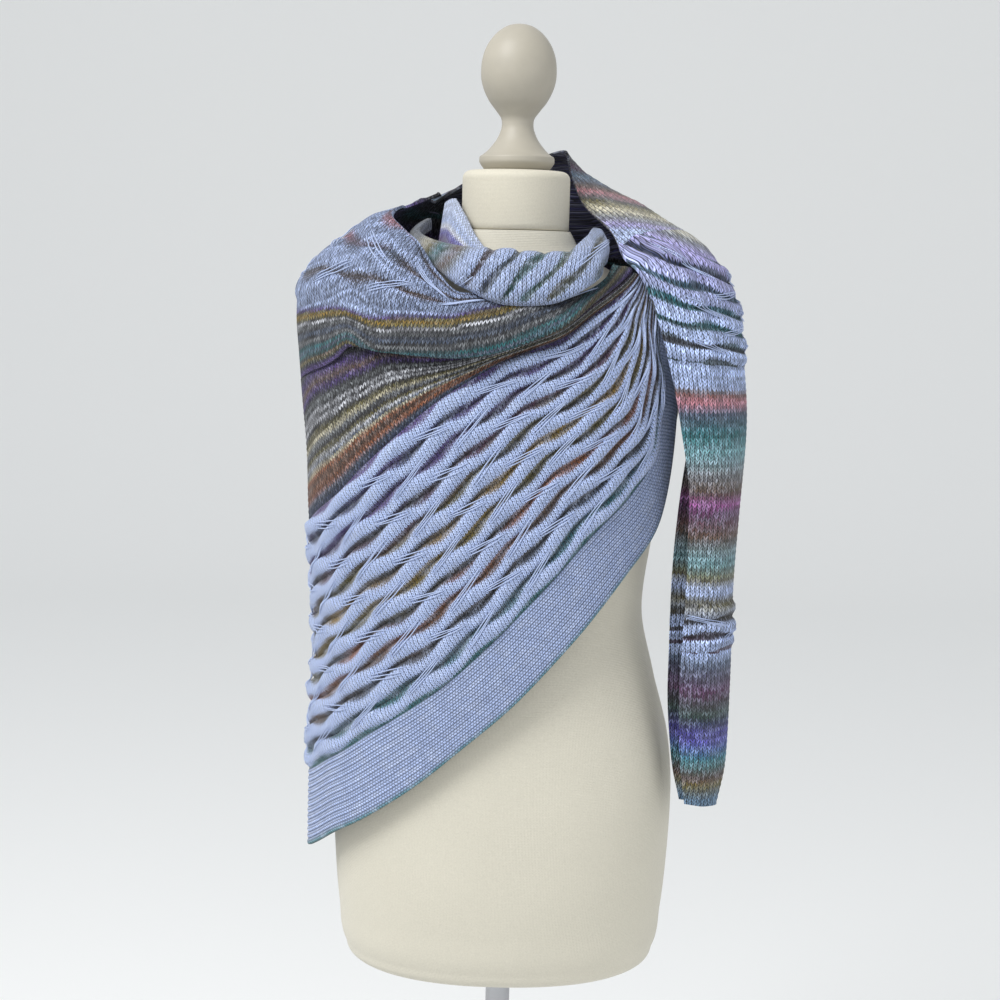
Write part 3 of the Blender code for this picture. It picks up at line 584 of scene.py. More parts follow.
# top 0.76 dims the fold, and the back yoke that copies it: painted shade near the neck, on top of the yarns'
# own dark colours
foldLook = {
    "chart": "purple 4, black 1.5, olive 2, brown 1.2, teal 3.5, slate 2, teal 2, charcoal 3, grey 1, "
             "black 3, slate 2, charcoal 3, grey 1, black 1.6, white 1.5, charcoal 1, olive 2, gold 2.4, "
             "olive 1.6, purple 1.5, blue 6, blue 56",
    "marlYarn": "grey", "marl": 0.20, "rows": 0.7, "rowShare": 0.0179, "drift": 0.05, "gap": 0.02,
    "speckle": 1.2, "top": 0.76, "sheen": 0.06, "deep": 0.0014,
    "valleys": "purple 3, black 1.5, olive 2.5, cream 1, teal 3.5, slate 2, teal 2, charcoal 3, grey 1.5, "
               "black 3, grey 2, charcoal 3, grey 1, black 1.6, white 1.5, charcoal 1, olive 2, gold 2.4, "
               "olive 1.6, brown 7, brown 8, slate 12, pink 5, slate 14, teal 17"}
yokeLook = dict(foldLook, chart=foldLook["chart"].rsplit(",", 1)[0] + ", blue 30, lilac 4, purple 10, "
                                                                      "charcoal 12")
# top 0.82 dims the roll below the quilting's 1.04: painted shade about the neck
rollLook = {
    "chart": "grey 3, cream 3, olive 2, teal 3, green 1, grey 1, brown 2.5, grey 1.5, blue 4, blue 40",
    "valleys": "grey 16, brown 6, navy 7, green 8, teal 8, olive 7, steel 8",
    "marlYarn": "ice", "marl": 0.4, "rows": 0.15, "rowShare": 0.012, "drift": 0.10, "gap": 0.05,
    "speckle": 0.5, "top": 0.82}
layerLook = {
    "chart": "maroon 2, purple 3, violet 2, white 1, blue 4, ice 6",
    "marlYarn": "ice", "marl": 0.3, "rows": 0.25, "rowShare": 0.05, "drift": 0.05, "gap": 0.14,
    "speckle": 0.6}
tailLook = {     # the rows of both charts are millimetres up the tail, from its hem
    "chart": "steel 22, olive 8, brown 8, teal 30, violet 12, indigo 14, green 12, maroon 34, slate 22, "
             "blue 5, blue 41, olive 9, blue 12, olive 14, aqua 18, brown 34, maroon 10, magenta 9, "
             "brown 14, grey 22, aqua 14, teal 26, slate 14, pink 10, brown 5, blue 6, blue 112, "
             "lilac 10, grey 12, cream 9, olive 8, pink 24",
    "valleys": "indigo 120, maroon 60, charcoal 20, olive 60, brown 100, teal 90, charcoal 20, teal 30, "
               "navy 45, slate 55",
    "marlYarn": "ice", "marl": 0.14, "rows": 0.5, "rowShare": 0.0058, "drift": 0.012, "gap": 0.04,
    "speckle": 0.8, "top": 1.12, "deep": 0.0015, "sheen": 0.10}
# the charcoal, navy and indigo stripes at the chart's upper end, on the collar behind the neck, are partly
# its own dark stripes and partly painted shade between collar and neck block
collarLook = {
    "chart": "blue 8, lilac 12, grey 12, cream 12, olive 8, charcoal 8, pink 12, brown 8, slate 12, "
             "steel 10, maroon 14, charcoal 24, navy 20, charcoal 20, indigo 16",
    "marlYarn": "grey", "marl": 0.3, "rows": 0.4, "rowShare": 0.019, "drift": 0.05, "gap": 0.04,
    "speckle": 1.1, "top": 0.95}


# Turns a grid's distances into stitches and rows, counted from a column where the stitches stay upright
def stitchMap(grid, column, size):
    along = lengthAlong(grid, 0)
    up = lengthAlong(grid, 1)
    along = along - along[column]
    up = 0.65 * up + 0.35 * up[column]
    return np.stack([along / size[0], up / size[1]], -1), along


# Flat length and width of a grid's cloth: the means of its lines, the width broader for what puffs take up
def cutOf(grid, broader=1.0):
    return lengthAlong(grid)[-1].mean(), lengthAlong(grid, 1)[:, -1].mean() * broader


def addPiece(piece, nodes, material, flat=None, rests=()):
    piece.data.materials.append(material)
    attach(piece, "root")
    if nodes:
        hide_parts(*nodes)
    return piece


def sideBySide(t):   # a group's strands lie apart in the middle and draw together at the lower end
    return 0.095 * (0.35 + np.sin(np.pi * (0.25 + 0.6 * t)))


# Three strands to a group. On even lines they cross the valley downwards where it falls, on odd lines
# upwards where it rises, one group to a repeat, from one ridge's shoulder to the next one's.
def floatStrands(name, grid, relief, along, ridges, spread):
    surfaceOut = grid + normalsOf(grid) * relief[..., None]
    nv = grid.shape[1]
    rows, starts = [], []
    for k in np.arange(1, ridges):
        column = along[:, int(round(np.clip(spread(k), 0, nv - 1)))]
        first = np.ceil(column.min() / quilt["repeat"]) - 1 + 0.5 * (k % 2)
        groups = int((column.max() - column.min()) / quilt["repeat"]) + 3
        at = (first + np.arange(groups)) * quilt["repeat"]
        at = at[(at > column.min() - 0.004) & (at < column.max() - 0.046)]
        rows.append(np.full(len(at), k))
        starts.append(at)
    k, at = np.concatenate(rows), np.concatenate(starts)
    rng = np.random.default_rng(5)
    strands = quilt["strands"]
    t = np.linspace(0.0, 1.0, 13)
    which = np.tile(np.arange(strands) - (strands - 1) / 2, len(k))[:, None]
    k, at = np.repeat(k, strands)[:, None], np.repeat(at, strands)[:, None]
    jitter = rng.normal(0, 1, (len(k), 3))
    where = t[None, :] * (0.57 + 0.03 * jitter[:, :1]) - 0.03 + 0.014 * jitter[:, 1:2]
    where = at + where * quilt["repeat"]
    slope = np.where(k % 2 < 0.5, 1.0, -1.0)
    ridge = k + slope * (0.5 - t[None, :]) * (0.62 + 0.04 * jitter[:, 2:])
    ridge = ridge + which * sideBySide(t)
    j = spread(ridge)
    i = np.empty_like(where)
    lineIndex = np.clip(np.round(spread(k[:, 0])).astype(int), 0, nv - 1)
    for line in np.unique(lineIndex):
        pick = lineIndex == line
        i[pick] = np.interp(where[pick], along[:, line], np.arange(len(along)))
    point = blendAt(surfaceOut, i, j)
    normal = blendAt(normalsOf(grid), i, j)
    # Pulled tight, a strand is nearly straight between its ends, so it is eased towards its own chord
    chord = point[:, :1] * (1 - t[None, :, None]) + point[:, -1:] * t[None, :, None]
    lift = (0.0004 + 0.0010 * np.sin(np.pi * t))[None, :, None]
    height = ((point - chord) * normal).sum(-1, keepdims=True)
    point = point + normal * (np.maximum(-height, 0) * 0.75 + lift)
    return strandMesh(name, point, normal, quilt["strand"])


# The same strands on a grid whose rows run across it: each point is found from its run and ridge, as the
# blend of the four grid points nearest to it in those two measures
def looseStrands(name, grid, relief, run, ridge, lines, reach, allowed, pitch=0.0195):
    known = np.stack([run / pitch, ridge], -1)[allowed]
    where3 = (grid + normalsOf(grid) * relief[..., None])[allowed]
    normal3 = normalsOf(grid)[allowed]
    rng = np.random.default_rng(9)
    t = np.linspace(0, 1, 13)
    wanted = []
    for k in lines:
        first = np.ceil(reach[0] / quilt["repeat"]) - 1 + 0.5 * (k % 2)
        for at in (first + np.arange(int((reach[1] - reach[0]) / quilt["repeat"]) + 3)) * quilt["repeat"]:
            slope = 1.0 if k % 2 == 0 else -1.0
            for which in (-1, 0, 1):
                jitter = rng.normal(0, 1, 2)
                along = at + (t * (0.55 + 0.03 * jitter[0]) + 0.012 * jitter[1]) * quilt["repeat"]
                height = k + slope * (0.5 - t) * 0.5 + which * sideBySide(t)
                wanted.append(np.stack([along / pitch, height], -1))
    wanted = np.array(wanted)
    flat = wanted.reshape(-1, 2)
    apart = ((flat[:, None] - known[None]) ** 2).sum(-1)
    near = np.argpartition(apart, 4, axis=1)[:, :4]
    close = np.take_along_axis(apart, near, 1)
    weight = 1 / (close + 1e-6)
    weight /= weight.sum(1, keepdims=True)
    point = (where3[near] * weight[..., None]).sum(1).reshape(*wanted.shape[:2], 3)
    normal = (normal3[near] * weight[..., None]).sum(1).reshape(*wanted.shape[:2], 3)
    inside = (close.min(1).reshape(wanted.shape[:2]) < 0.02).all(1)   # strands wholly on the allowed part
    point, normal = point[inside], normal[inside]
    for _ in range(3):
        point[:, 1:-1] = (point[:, :-2] + 2 * point[:, 1:-1] + point[:, 2:]) / 4
    return strandMesh(name, point + normal * 0.0012, normal, quilt["strand"])


# The wrap: border, quilted field and stripes, front and back
side = cloth["side"]
frontPlaces = np.linspace(0.0, side - 0.002, 210)
backPlaces = np.linspace(side + 0.002, 18.0, 150)
woolBlue = knitMaterial("garterBlueWool", borderLook)
quiltFront = knitMaterial("quiltedFrontWool", frontLook)
quiltBack = knitMaterial("quiltedBackWool", backLook)
stripeWool = knitMaterial("stripedWool", stripesLook)
foldWool = knitMaterial("foldedStripeWool", foldLook)
yokeWool = knitMaterial("backYokeWool", yokeLook)
rollWool = knitMaterial("neckRollWool", rollLook)
layerWool = knitMaterial("neckLayerWool", layerLook)
tailWool = knitMaterial("tailStripeWool", tailLook)
collarWool = knitMaterial("collarStripeWool", collarLook)


def strandMaterial():
    material, tree, shader = newMaterial("floatYarn", 0.85, 0.0, 0.25)
    uv = place(tree, "ShaderNodeUVMap", uv_map="stitches")
    ply = place(tree, "ShaderNodeTexWave", {"Vector": uv, "Scale": 1.2, "Distortion": 1.0})
    colour = mixed(tree, ply, linearColour((120, 142, 190)), linearColour((206, 217, 240)))
    finishMaterial(tree, shader, colour, ply, 0.4, 0.0003)
    return material


floatYarn = strandMaterial()

for label, places, ridges in (("front", frontPlaces, 11), ("back", backPlaces, 10)):
    # Garter border: 12 rounded ridges, height sin(12 pi v)
    v = np.linspace(0, 1, 85)
    grid = panel(0, 1, places, v)
    stitches, _ = stitchMap(grid, len(places) // 2, (0.0034, 0.0027))
    stitches[..., 1] = v[None, :] * 12
    relief = 0.0014 * np.abs(np.sin(12 * np.pi * v))[None, :] ** 0.7 * np.ones((len(places), 1))
    border = wallMesh(label + "Border", grid, relief, stitches, v[None, :], 0 * grid[..., 0])
    addPiece(border, [label + "_border"], woolBlue, cutOf(grid),
             [label + "_lattice", "form_body"])

    # Quilted field
    v = np.linspace(0, 1, 12 * ridges + 1)
    grid = panel(1, 2, places, v)
    stitches, along = stitchMap(grid, len(places) // 2, (0.0037, 0.0030))
    gap = np.linalg.norm(grid[:, -1] - grid[:, 0], axis=-1) / ridges
    high = np.minimum(quilt["high"], 0.44 * gap)[:, None]
    puff, valley = quilting(along, v[None, :] * ridges)
    edge = unit(np.minimum(v, 1 - v) * ridges / 0.25)[None, :]
    relief = high * (puff - 0.35 * valley**2) * edge
    if label == "front":         # the valleys widen and darken over the last 0.13 m before the gather
        near = unit((along - along[-1:] + 0.13) / 0.10)
        # partly a wider band of the valley yarn, partly painted shade at the gather: the raised value
        # darkens the valley colour further
        valley = valley * (1 + 0.8 * near)
    field = wallMesh(label + "Quilting", grid, relief, stitches, v[None, :], valley)
    strands = floatStrands(label + "Floats", grid, relief, along, ridges, lambda k: k * 12)
    addPiece(strands, [], floatYarn)
    addPiece(field, [label + "_lattice"], quiltFront if label == "front" else quiltBack,
             cutOf(grid, 1.1), ["form_body"])
    print(label, "border and quilting made")

# Striped stretch above the quilting. In front it runs up behind the chest fold.
u = frontPlaces[::-1]
lines = throughRows(wrapLines, u)
reach = np.maximum(0.15 * unit((lines[:, -1] - 0.003) / 0.009), 0.07 * unit((10.6 - u) / 0.5))
v = np.linspace(0, 1, 48)[None, :]
fields = []
for low, mid, high in ((4, 6, 8), (5, 7, 9)):
    top = lines[:, mid] + reach * (lines[:, high] - lines[:, mid])
    fields.append(lines[:, low, None] + (top - lines[:, low])[:, None] * v)
frontGrid = hang(np.radians(fields[0]), fields[1])
frontGrid = frontGrid - normalsOf(frontGrid) * (
    0.0028 * unit((v - 0.84) / 0.08) * unit((10.6 - u) / 0.5)[:, None])[..., None]
backGrid = panel(2, 3, backPlaces, v[0])
for label, grid, rows in (("front", frontGrid, 0.82), ("back", backGrid, 1.0)):
    stitches, _ = stitchMap(grid, len(grid) // 3, (0.0038, 0.0031))
    ripple = 0.0005 * np.sin(lengthAlong(grid, 1) / 0.0062 * np.pi)**2
    chart = v * np.ones((len(grid), 1))
    stripes = wallMesh(label + "Stripes", grid, ripple, stitches, chart, 0 * grid[..., 0])
    addPiece(stripes, [label + "_stripes"], stripeWool, cutOf(grid),
             ["form_body", label + "_lattice"])


# Height share of the shoulder's rows: striped up to the split, quilted above it
def shoulderRow(u, v):
    split = throughRows(shoulderLattice, u)
    low = v / shoulderSplit * split
    high = split + (v - shoulderSplit) / (1 - shoulderSplit) * (1 - split)
    return np.where(v < shoulderSplit, low, high)


# Chest fold: on the outline, pushed out along its normal by lift plus bulge times the section's curve
def chestGrid(places, v):
    u = places[::-1]
    bulge = throughRows(wrapLines, u)[:, -1:]
    share = unit(bulge / 0.014)
    share = share**2 * (3 - 2 * share)
    row = shoulderRow(u, v)
    section = throughRows(chestSection, row)
    up = row * (1 - share) + (section[..., 0] + np.maximum(row - 1, 0)) * share
    turn, z = wrapGrid(u, up, 3, 4)
    grid = hang(turn, z)
    lift = 0.0046 * unit(bulge / 0.009) * unit((1.0 - up) / 0.3)
    return grid + outward(turn, z) * (lift + bulge * section[..., 1])[..., None]


for label, node, places, count in (("chestFold", "chest_fold", frontPlaces, 96),
                                   ("backYoke", "back_yoke", backPlaces, 72)):
    v = np.linspace(0, 1, count)
    # The neck edge runs on under the roll in front, further towards the gather, and under the collar behind
    under = np.clip((8.4 - places[::-1]) / 1.6, 0.04, 1) * (0.09 + 0.55 * unit((4.4 - places[::-1]) / 2.2))
    every = np.broadcast_to(v, (len(places), count))
    under = under + 1.4 * unit((3.0 - places[::-1]) / 2.0)
    if label == "backYoke":
        under = 0.004 + 0.10 * unit((places[::-1] - side) / 0.7)
    v = np.append(v, np.linspace(1, 1.09, 9)[1:])
    every = np.hstack([every, 1 + under[:, None] * np.linspace(0, 1, 9)[1:]])
    grid = chestGrid(places, every)
    stitches, along = stitchMap(grid, len(places) // 3, (0.0038, 0.0031))
    ridge = (v - shoulderSplit) / (1 - shoulderSplit) * 3
    puff, valley = quilting(along * np.ones(grid.shape[:2]), ridge[None, :] + 0 * along)
    room = unit((1 - throughRows(shoulderLattice, places[::-1])) / 0.4)
    quilted = unit((ridge[None, :] - 0.1) / 0.2)
    relief = quilt["high"] * 0.45 * (puff - 0.3 * valley**2) * quilted * room
    relief = relief * unit((3 - ridge[None, :]) / 0.3)
    # The chart reaches 0.44 where the quilted rows start. Towards the gather the stripes keep their 76 mm
    # instead, so the upper ones run out where the fold narrows.
    rise = lengthAlong(grid, 1)
    start = np.array([np.interp(shoulderSplit, v, line) for line in rise])[:, None]
    broad = unit((places[::-1] - 4.2) / 1.8)[:, None]
    band = start * broad + 0.076 * (1 - broad)
    chart = shoulderSplit * (np.minimum(rise, start) / band + np.maximum(rise - start, 0) / 0.19)
    if label == "backYoke":      # behind, the rows reach the chart's end at the neck edge
        turned = unit((places[::-1] - side) / 0.8)[:, None]
        chart = chart * (1 - turned) + every * turned
    piece = wallMesh(label, grid, relief, stitches, unit(chart), valley * quilted * 0.72)
    strands = floatStrands(label + "Floats", grid, relief, along, 3, lambda k: (
        shoulderSplit + k / 3 * (1 - shoulderSplit)) * (count - 1))
    addPiece(strands, [], floatYarn)
    addPiece(piece, [node], foldWool if label == "chestFold" else yokeWool, cutOf(grid),
             ["form_body", "front_stripes"])
print("stripes and chest fold made")


# Neck roll: radius and height of the crest plus the section's curve times bulge and drop, at each turn
def rollGrid(turn, v):
    rows = throughRows(neckRoll[::-1], turn)
    section = throughRows(rollSection, v)
    r = rows[:, None, 0] + rows[:, None, 2] * section[None, :, 0]
    z = rows[:, None, 1] - rows[:, None, 3] * section[None, :, 1]
    a = np.radians(turn)[:, None]
    return clearOf(np.stack([-r * np.sin(a), -r * np.cos(a), z], -1), cloth["bodyGap"])


turn = np.linspace(-82, 106, 190)
grid = rollGrid(turn, np.linspace(0, 1, 76))
stitches, _ = stitchMap(grid, 95, (0.0040, 0.0033))
up = lengthAlong(grid, 1)
# Its rows climb to the right: the chart is level across them, the run counts along them
climb = np.radians(32)
level = (grid[..., 0] + 0.105) * np.cos(climb) - (grid[..., 2] - 1.352) * np.sin(climb) * 1.4
run = (grid[..., 0] + 0.105) * np.sin(climb) + (grid[..., 2] - 1.30) * np.cos(climb)
ridge = (level - 0.058) / 0.0195
puff, valley = quilting(run, ridge)
bound = unit(np.minimum(up, up[:, -1:] - up) / 0.010) * unit((ridge - 0.1) / 0.5)
bound = bound * unit((58 - turn) / 24)[:, None] * unit((turn + 66) / 20)[:, None]
relief = 0.0034 * (puff - 0.3 * valley**2) * bound
roll = wallMesh("neckRoll", grid, relief, stitches, unit(level / 0.19), valley * bound)
strands = looseStrands("rollFloats", grid, relief, run, ridge, [1, 2, 3, 4, 5, 6], (-0.05, 0.16),
                       (bound > 0.08) & (grid[..., 1] < -0.05))
addPiece(strands, [], floatYarn)
addPiece(roll, ["neck_roll"], rollWool, cutOf(grid), ["chest_fold", "form_body"])


# Layer inside the roll: a ruled band between its upper and lower edges
def layerGrid(turn, v):
    rows = throughRows(neckLayer[::-1], turn)
    r = rows[:, None, 0] + (rows[:, None, 2] - rows[:, None, 0]) * v
    z = rows[:, None, 1] + (rows[:, None, 3] - rows[:, None, 1]) * v
    a = np.radians(turn)[:, None]
    return clearOf(np.stack([-r * np.sin(a), -r * np.cos(a), z], -1), cloth["bodyGap"])


grid = layerGrid(np.linspace(24, 126, 90), np.linspace(0, 1, 24)[None, :])
stitches, _ = stitchMap(grid, 45, (0.0038, 0.0031))
chart = (1 - np.linspace(0, 1, 24))[None, :] * np.ones((90, 1))
layer = wallMesh("neckLayer", grid, 0 * chart, stitches, chart, 0 * chart)
addPiece(layer, ["neck_layer"], layerWool, cutOf(grid), ["form_body"])


# Collar and tail: a smooth curve through inner edge, crest and far edge, with a crease down the front
def tailGrid(u, v):
    rows = throughRows(tailSections, u)
    inner, crest, far, bulge = rows[:, 0:3], rows[:, 3:6], rows[:, 6:9], rows[:, 9:10]
    across = crest - inner
    along = np.gradient((inner + crest) / 2, axis=0)
    out = np.cross(across, along)
    out /= np.linalg.norm(out, axis=-1, keepdims=True)
    out *= np.where((out * (inner + crest) * (1, 1, 0)).sum(-1, keepdims=True) + 0.2 * out[:, 2:] > 0, 1, -1)
    turnBack = far - crest
    spread = across / np.linalg.norm(across, axis=-1, keepdims=True)
    line = np.stack([inner, inner + 0.30 * across + 1.05 * bulge * out,
                     inner + 0.68 * across + 0.95 * bulge * out, crest,
                     crest + 0.42 * turnBack + 0.45 * bulge * spread, far], 1)
    stops = np.array([0.0, 0.18, 0.38, 0.58, 0.78, 1.0])
    grid = throughRows(np.column_stack([stops, line.transpose(1, 0, 2).reshape(6, -1)]), v)
    grid = grid.reshape(len(v), len(u), 3).transpose(1, 0, 2)
    crease = np.exp(-((v[None, :] - 0.27) / 0.045)**2) * unit((u[:, None] - 6.2) / 1.5)
    crease *= unit((12.0 - u[:, None]) / 2.5)
    return grid - normalsOf(grid) * (0.006 * crease)[..., None]


# The tail's rows run level and slope with the shoulder above; behind the neck they follow its length
def tailRow(grid, u):
    x, z = grid[..., 0], grid[..., 2]
    row = z + 0.35 * unit((z - 1.2) / 0.15) * (x - 0.19)
    return row + np.clip(6.6 - u, 0, 9)[:, None] * 0.02


# Heights of the two quilted bands of the tail, and of one ridge
tailQuilt = {"upper": (1.2435, 1.342), "lower": (0.9635, 1.013), "start": 1.3425, "ridge": 0.0165}
across = np.linspace(0, 1, 64)
for label, u in (("collar", np.linspace(0, 6.598, 120)), ("tail", np.linspace(6.602, 16, 330))):
    grid = tailGrid(u, across)
    row = tailRow(grid, u)
    along = lengthAlong(grid, 1)
    along = along - along[:, 20:21]
    if label == "tail":
        bands = [tailQuilt["upper"], tailQuilt["lower"]]
        top, low = ((row < above) & (row > below) for below, above in bands)
        start = np.where(low, tailQuilt["lower"][1], tailQuilt["start"])
        ridge = (start - row) / tailQuilt["ridge"]
        puff, valley = quilting(along, ridge)
        band = sum(unit(np.minimum(above - row, row - below) / 0.004) for below, above in bands)
        relief = 0.0042 * (puff - 0.4 * valley**2) * band
        relief = relief + 0.0004 * np.sin(row / 0.0064 * np.pi)**2
        chart = unit((row - 0.80) / 0.60)
        valley = valley * (band > 0)
        ridge = np.where(top | low, ridge, -9)
        strands = [looseStrands("tailFloats" + mark, grid, relief, along, ridge, range(1, count),
                                (-0.06, 0.12), (band > 0.4) & part, tailQuilt["ridge"])
                   for mark, part, count in (("Upper", top, 6), ("Lower", low, 3))]
    else:
        relief = 0.0004 * np.sin(row / 0.0064 * np.pi)**2
        chart = unit((row - 1.342) / 0.18)
        valley = 0 * row
    stitches = np.stack([along / 0.0044, row / 0.0035], -1)
    # the collar's inner face takes one place of the chart, between charcoal and indigo: painted shade inside
    # the collar beside the neck block
    behind = 0.93 if label == "collar" else None
    piece = wallMesh(label + "Cloth", grid, relief, stitches, chart, valley, behind)
    extras = strands if label == "tail" else []
    for extra in extras:
        addPiece(extra, [], floatYarn)
    addPiece(piece, [label], tailWool if label == "tail" else collarWool, cutOf(grid),
             ["back_yoke", "form_body"])
print("neck roll, collar and tail made")


# Dress form. The cover is the stack of rings closed to a point at both ends.
def turnedPiece(name, rings):
    low, high = (ring.mean(0) + (ring - ring.mean(0)) * 0.4 for ring in (rings[0], rings[-1]))
    grid = np.concatenate([[low], rings, [high]])
    count, sides = grid.shape[:2]
    index = np.arange(count * sides).reshape(count, sides)
    turnOn = np.roll(index, -1, axis=1)
    quads = [np.stack([index[:-1], turnOn[:-1], turnOn[1:], index[1:]], -1).reshape(-1, 4)]
    # Each end is a fan about a middle point, two sides to a face
    middle = index.size + np.arange(2)
    even = np.arange(0, sides, 2)
    for tip, ring, turned in ((middle[0], index[0], -1), (middle[1], index[-1], 1)):
        rim = [ring[even], ring[even + 1], ring[(even + 2) % sides]][::turned]
        quads.append(np.stack([np.full(len(even), tip)] + rim, -1))
    points = np.vstack([grid.reshape(-1, 3), grid[0].mean(0), grid[-1].mean(0)])
    return surface(name, points, np.vstack(quads))


def turnedRings(profile, sides, bottom):   # profile of height and radius, turned about the pole
    angle = np.linspace(0, 2 * np.pi, sides, endpoint=False)
    z, r = np.array(profile).T
    r = np.maximum(r, 1e-4)
    x, y = r[:, None] * np.cos(angle), r[:, None] * np.sin(angle)
    return np.stack([x, y, bottom + z[:, None] + 0 * angle], -1)


form = {
    "blockRadius": 0.053, "blockBottom": 1.3665, "blockTop": 1.424, "pole": 0.0125, "base": 0.165,
    "foot": 0.018, "gap": 0.0003, "coverColour": (208, 203, 187), "neckColour": (210, 204, 186),
    "paint": (168, 162, 148), "steel": (176, 177, 180), "plate": (168, 169, 172)}
finialProfile = np.array([
    (0.0, 0.0005, 0.031), (1, 0.003, 0.0335), (2, 0.009, 0.0370), (3, 0.013, 0.0368), (4, 0.016, 0.0330),
    (5, 0.021, 0.0275), (6, 0.030, 0.0205), (7, 0.039, 0.0165), (8, 0.045, 0.0155), (9, 0.051, 0.0165),
    (10, 0.058, 0.0215), (11, 0.068, 0.0290), (12, 0.081, 0.0350), (13, 0.094, 0.0370),
    (14, 0.108, 0.0358), (15, 0.121, 0.0310), (16, 0.132, 0.0225), (17, 0.139, 0.0120),
    (18, 0.1415, 0.0004)])


def coverMaterial(name, colour, roughness, scale, deep, sheen):
    material, tree, shader = newMaterial(name, roughness, 0.0, sheen)
    where = place(tree, "ShaderNodeTexCoord", (), "Object")
    x, y, z = split(tree, where)
    rib = (x.math("ARCTAN2", y) * (2 * np.pi * 0.14 / scale)).math("SINE")
    course = (z * (2 * np.pi / scale)).math("SINE")
    soiled = linearColour([c * 0.955 for c in colour])
    tone = mixed(tree, noise(tree, where, 9.0, 4.0), soiled, linearColour(colour))
    tone = shaded(tree, tone, ranged(tree, noise(tree, where, 700.0, 2.0), 0.2, 0.8, 0.93, 1.05))
    finishMaterial(tree, shader, tone, rib * 0.5 + course * 0.5, 0.5, deep)
    return material


def paintMaterial(name, colour, roughness, metallic):
    material, tree, shader = newMaterial(name, roughness, metallic)
    where = place(tree, "ShaderNodeTexCoord", (), "Object")
    cloud = noise(tree, where, 30.0, 5.0)
    dark, light = (linearColour([min(255, c * share) for c in colour]) for share in (0.92, 1.04))
    join(tree, shader.inputs["Roughness"], ranged(tree, cloud, 0.0, 1.0, roughness - 0.07, roughness + 0.09))
    brushed = place(tree, "ShaderNodeMapping", {"Vector": where, "Scale": (60.0, 60.0, 900.0)})
    colour = mixed(tree, cloud, dark, light)
    finishMaterial(tree, shader, colour, noise(tree, brushed, 1.0, 2.0), 0.25, 0.0002)
    return material


levels = np.concatenate([np.linspace(0.620, 0.645, 14)[:-1], np.linspace(0.645, 1.366, 130)])
angle = np.linspace(0, 2 * np.pi, 128, endpoint=False)
rings = ringPoint(angle[None, :], levels[:, None] + 0 * angle, formRings, cloth["formPower"])
cover = turnedPiece("formCover", rings)
addPiece(cover, ["form_body"],
         coverMaterial("jerseyCover", form["coverColour"], 0.85, 0.0016, 0.0003, 0.15))
tall = form["blockTop"] - form["blockBottom"]
r = form["blockRadius"]
corner = np.linspace(0, np.pi / 2, 9)
block = [(0.0, r - 0.0015), (0.0012, r)] + [(t, r) for t in np.linspace(0.006, tall - 0.009, 8)]
block += [(tall - 0.008 + 0.008 * np.sin(a), r - 0.008 + 0.008 * np.cos(a)) for a in corner]
neck = turnedPiece("neckBlock", turnedRings(block, 96, form["blockBottom"]))
addPiece(neck, ["neck_block"],
         coverMaterial("neckCover", form["neckColour"], 0.6, 0.0012, 0.0002, 0.1))
curve = throughRows(finialProfile, np.linspace(0, 18, 110))
knob = turnedPiece("turnedFinial", turnedRings(curve, 80, form["blockTop"]))
addPiece(knob, ["finial"], paintMaterial("greigePaint", form["paint"], 0.5, 0.0))
tall = formRings[0, 0] - form["foot"] - 2 * form["gap"]
rod = [(t, form["pole"]) for t in (0, 0.002, tall / 2, tall)]
rod = turnedPiece("standPole", turnedRings(rod, 48, form["foot"] + form["gap"]))
addPiece(rod, ["pole"], paintMaterial("satinSteel", form["steel"], 0.34, 0.9))
b = form["base"]
edge = [(0.0, b - 0.003), (0.001, b - 0.001), (0.003, b), (0.010, b), (0.0125, b - 0.001),
        (0.015, b - 0.003), (0.0165, b - 0.007), (0.0175, b - 0.014), (0.018, b - 0.022), (0.018, 0.02)]
foot = turnedPiece("roundBase", turnedRings(edge, 128, 0.0))
addPiece(foot, ["base"], paintMaterial("satinPlate", form["plate"], 0.42, 0.85))
print("dress form made")

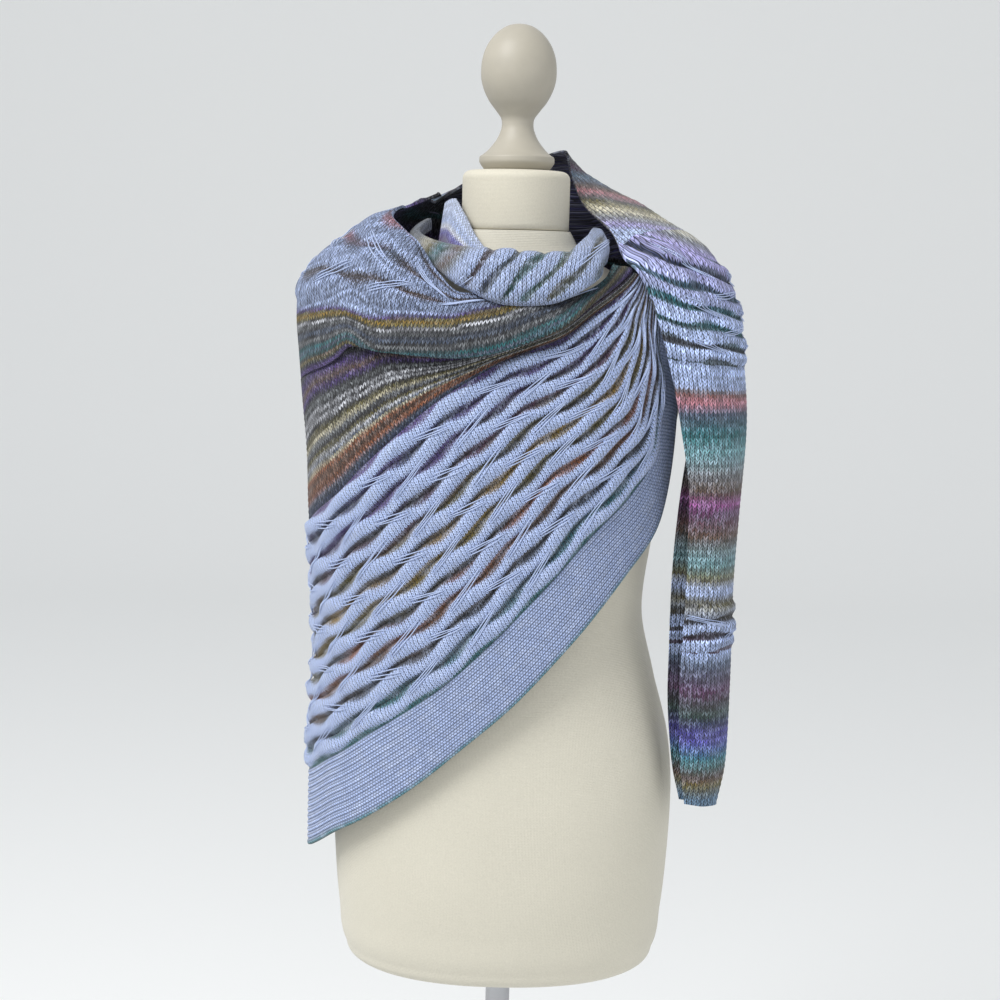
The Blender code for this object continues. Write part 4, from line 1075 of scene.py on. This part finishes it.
# Pale floor that curves up behind, soft light, and the camera
stage = {"pale": (246, 246, 244), "key": 92.0, "fill": 16.0, "sky": 0.70, "lens": 63,
         "eye": (-0.009, -1.75, 1.337), "tilt": 7.8, "roll": 1.3}
bend = np.linspace(0, np.pi / 2, 16)
run = [(y, 0.0) for y in np.linspace(-9, 5, 6)]
run += [(5 + 2 * np.sin(a), 2 - 2 * np.cos(a)) for a in bend[1:]] + [(7, 7)]
width = np.array([-9.0, 9.0])
sweep = np.array([[(x, y, z) for x in width] for y, z in run])
index = np.arange(len(run) * 2).reshape(len(run), 2)
quads = np.stack([index[:-1, 0], index[:-1, 1], index[1:, 1], index[1:, 0]], -1)
floor = surface("paleFloor", sweep.reshape(-1, 3), quads)
floorPaint, _, shader = newMaterial("palePaper", 0.9)
shader.inputs["Base Color"].default_value = linearColour(stage["pale"])
floor.data.materials.append(floorPaint)


def softLight(name, where, size, power, target=(0, 0, 1.15)):
    lamp = bpy.data.lights.new(name, "AREA")
    lamp.energy, lamp.size = power, size
    item = bpy.data.objects.new(name, lamp)
    item.location = where
    x, y, z = np.array(target) - np.array(where)
    item.rotation_euler = (np.arctan2(np.hypot(x, y), -z), 0, np.arctan2(-x, y))
    bpy.context.scene.collection.objects.link(item)


softLight("keyLight", (-1.6, -1.5, 3.4), 1.6, stage["key"])
softLight("fillLight", (2.4, -2.2, 1.6), 2.0, stage["fill"])
world = bpy.data.worlds.new("softStudio")
world.use_nodes = True
world.node_tree.nodes["Background"].inputs[0].default_value = (0.93, 0.96, 1.0, 1)
world.node_tree.nodes["Background"].inputs[1].default_value = stage["sky"]
bpy.context.scene.world = world
bpy.context.scene.view_settings.view_transform = "Standard"

camera = bpy.data.cameras.new("studioCamera")
camera.sensor_width, camera.lens = 36, stage["lens"]
view = bpy.data.objects.new("studioCamera", camera)
view.location = stage["eye"]
level = Euler((np.radians(90 - stage["tilt"]), 0, 0)).to_matrix()
view.rotation_euler = (level @ Matrix.Rotation(np.radians(stage["roll"]), 3, "Z")).to_euler()
bpy.context.scene.collection.objects.link(view)
bpy.context.scene.camera = view
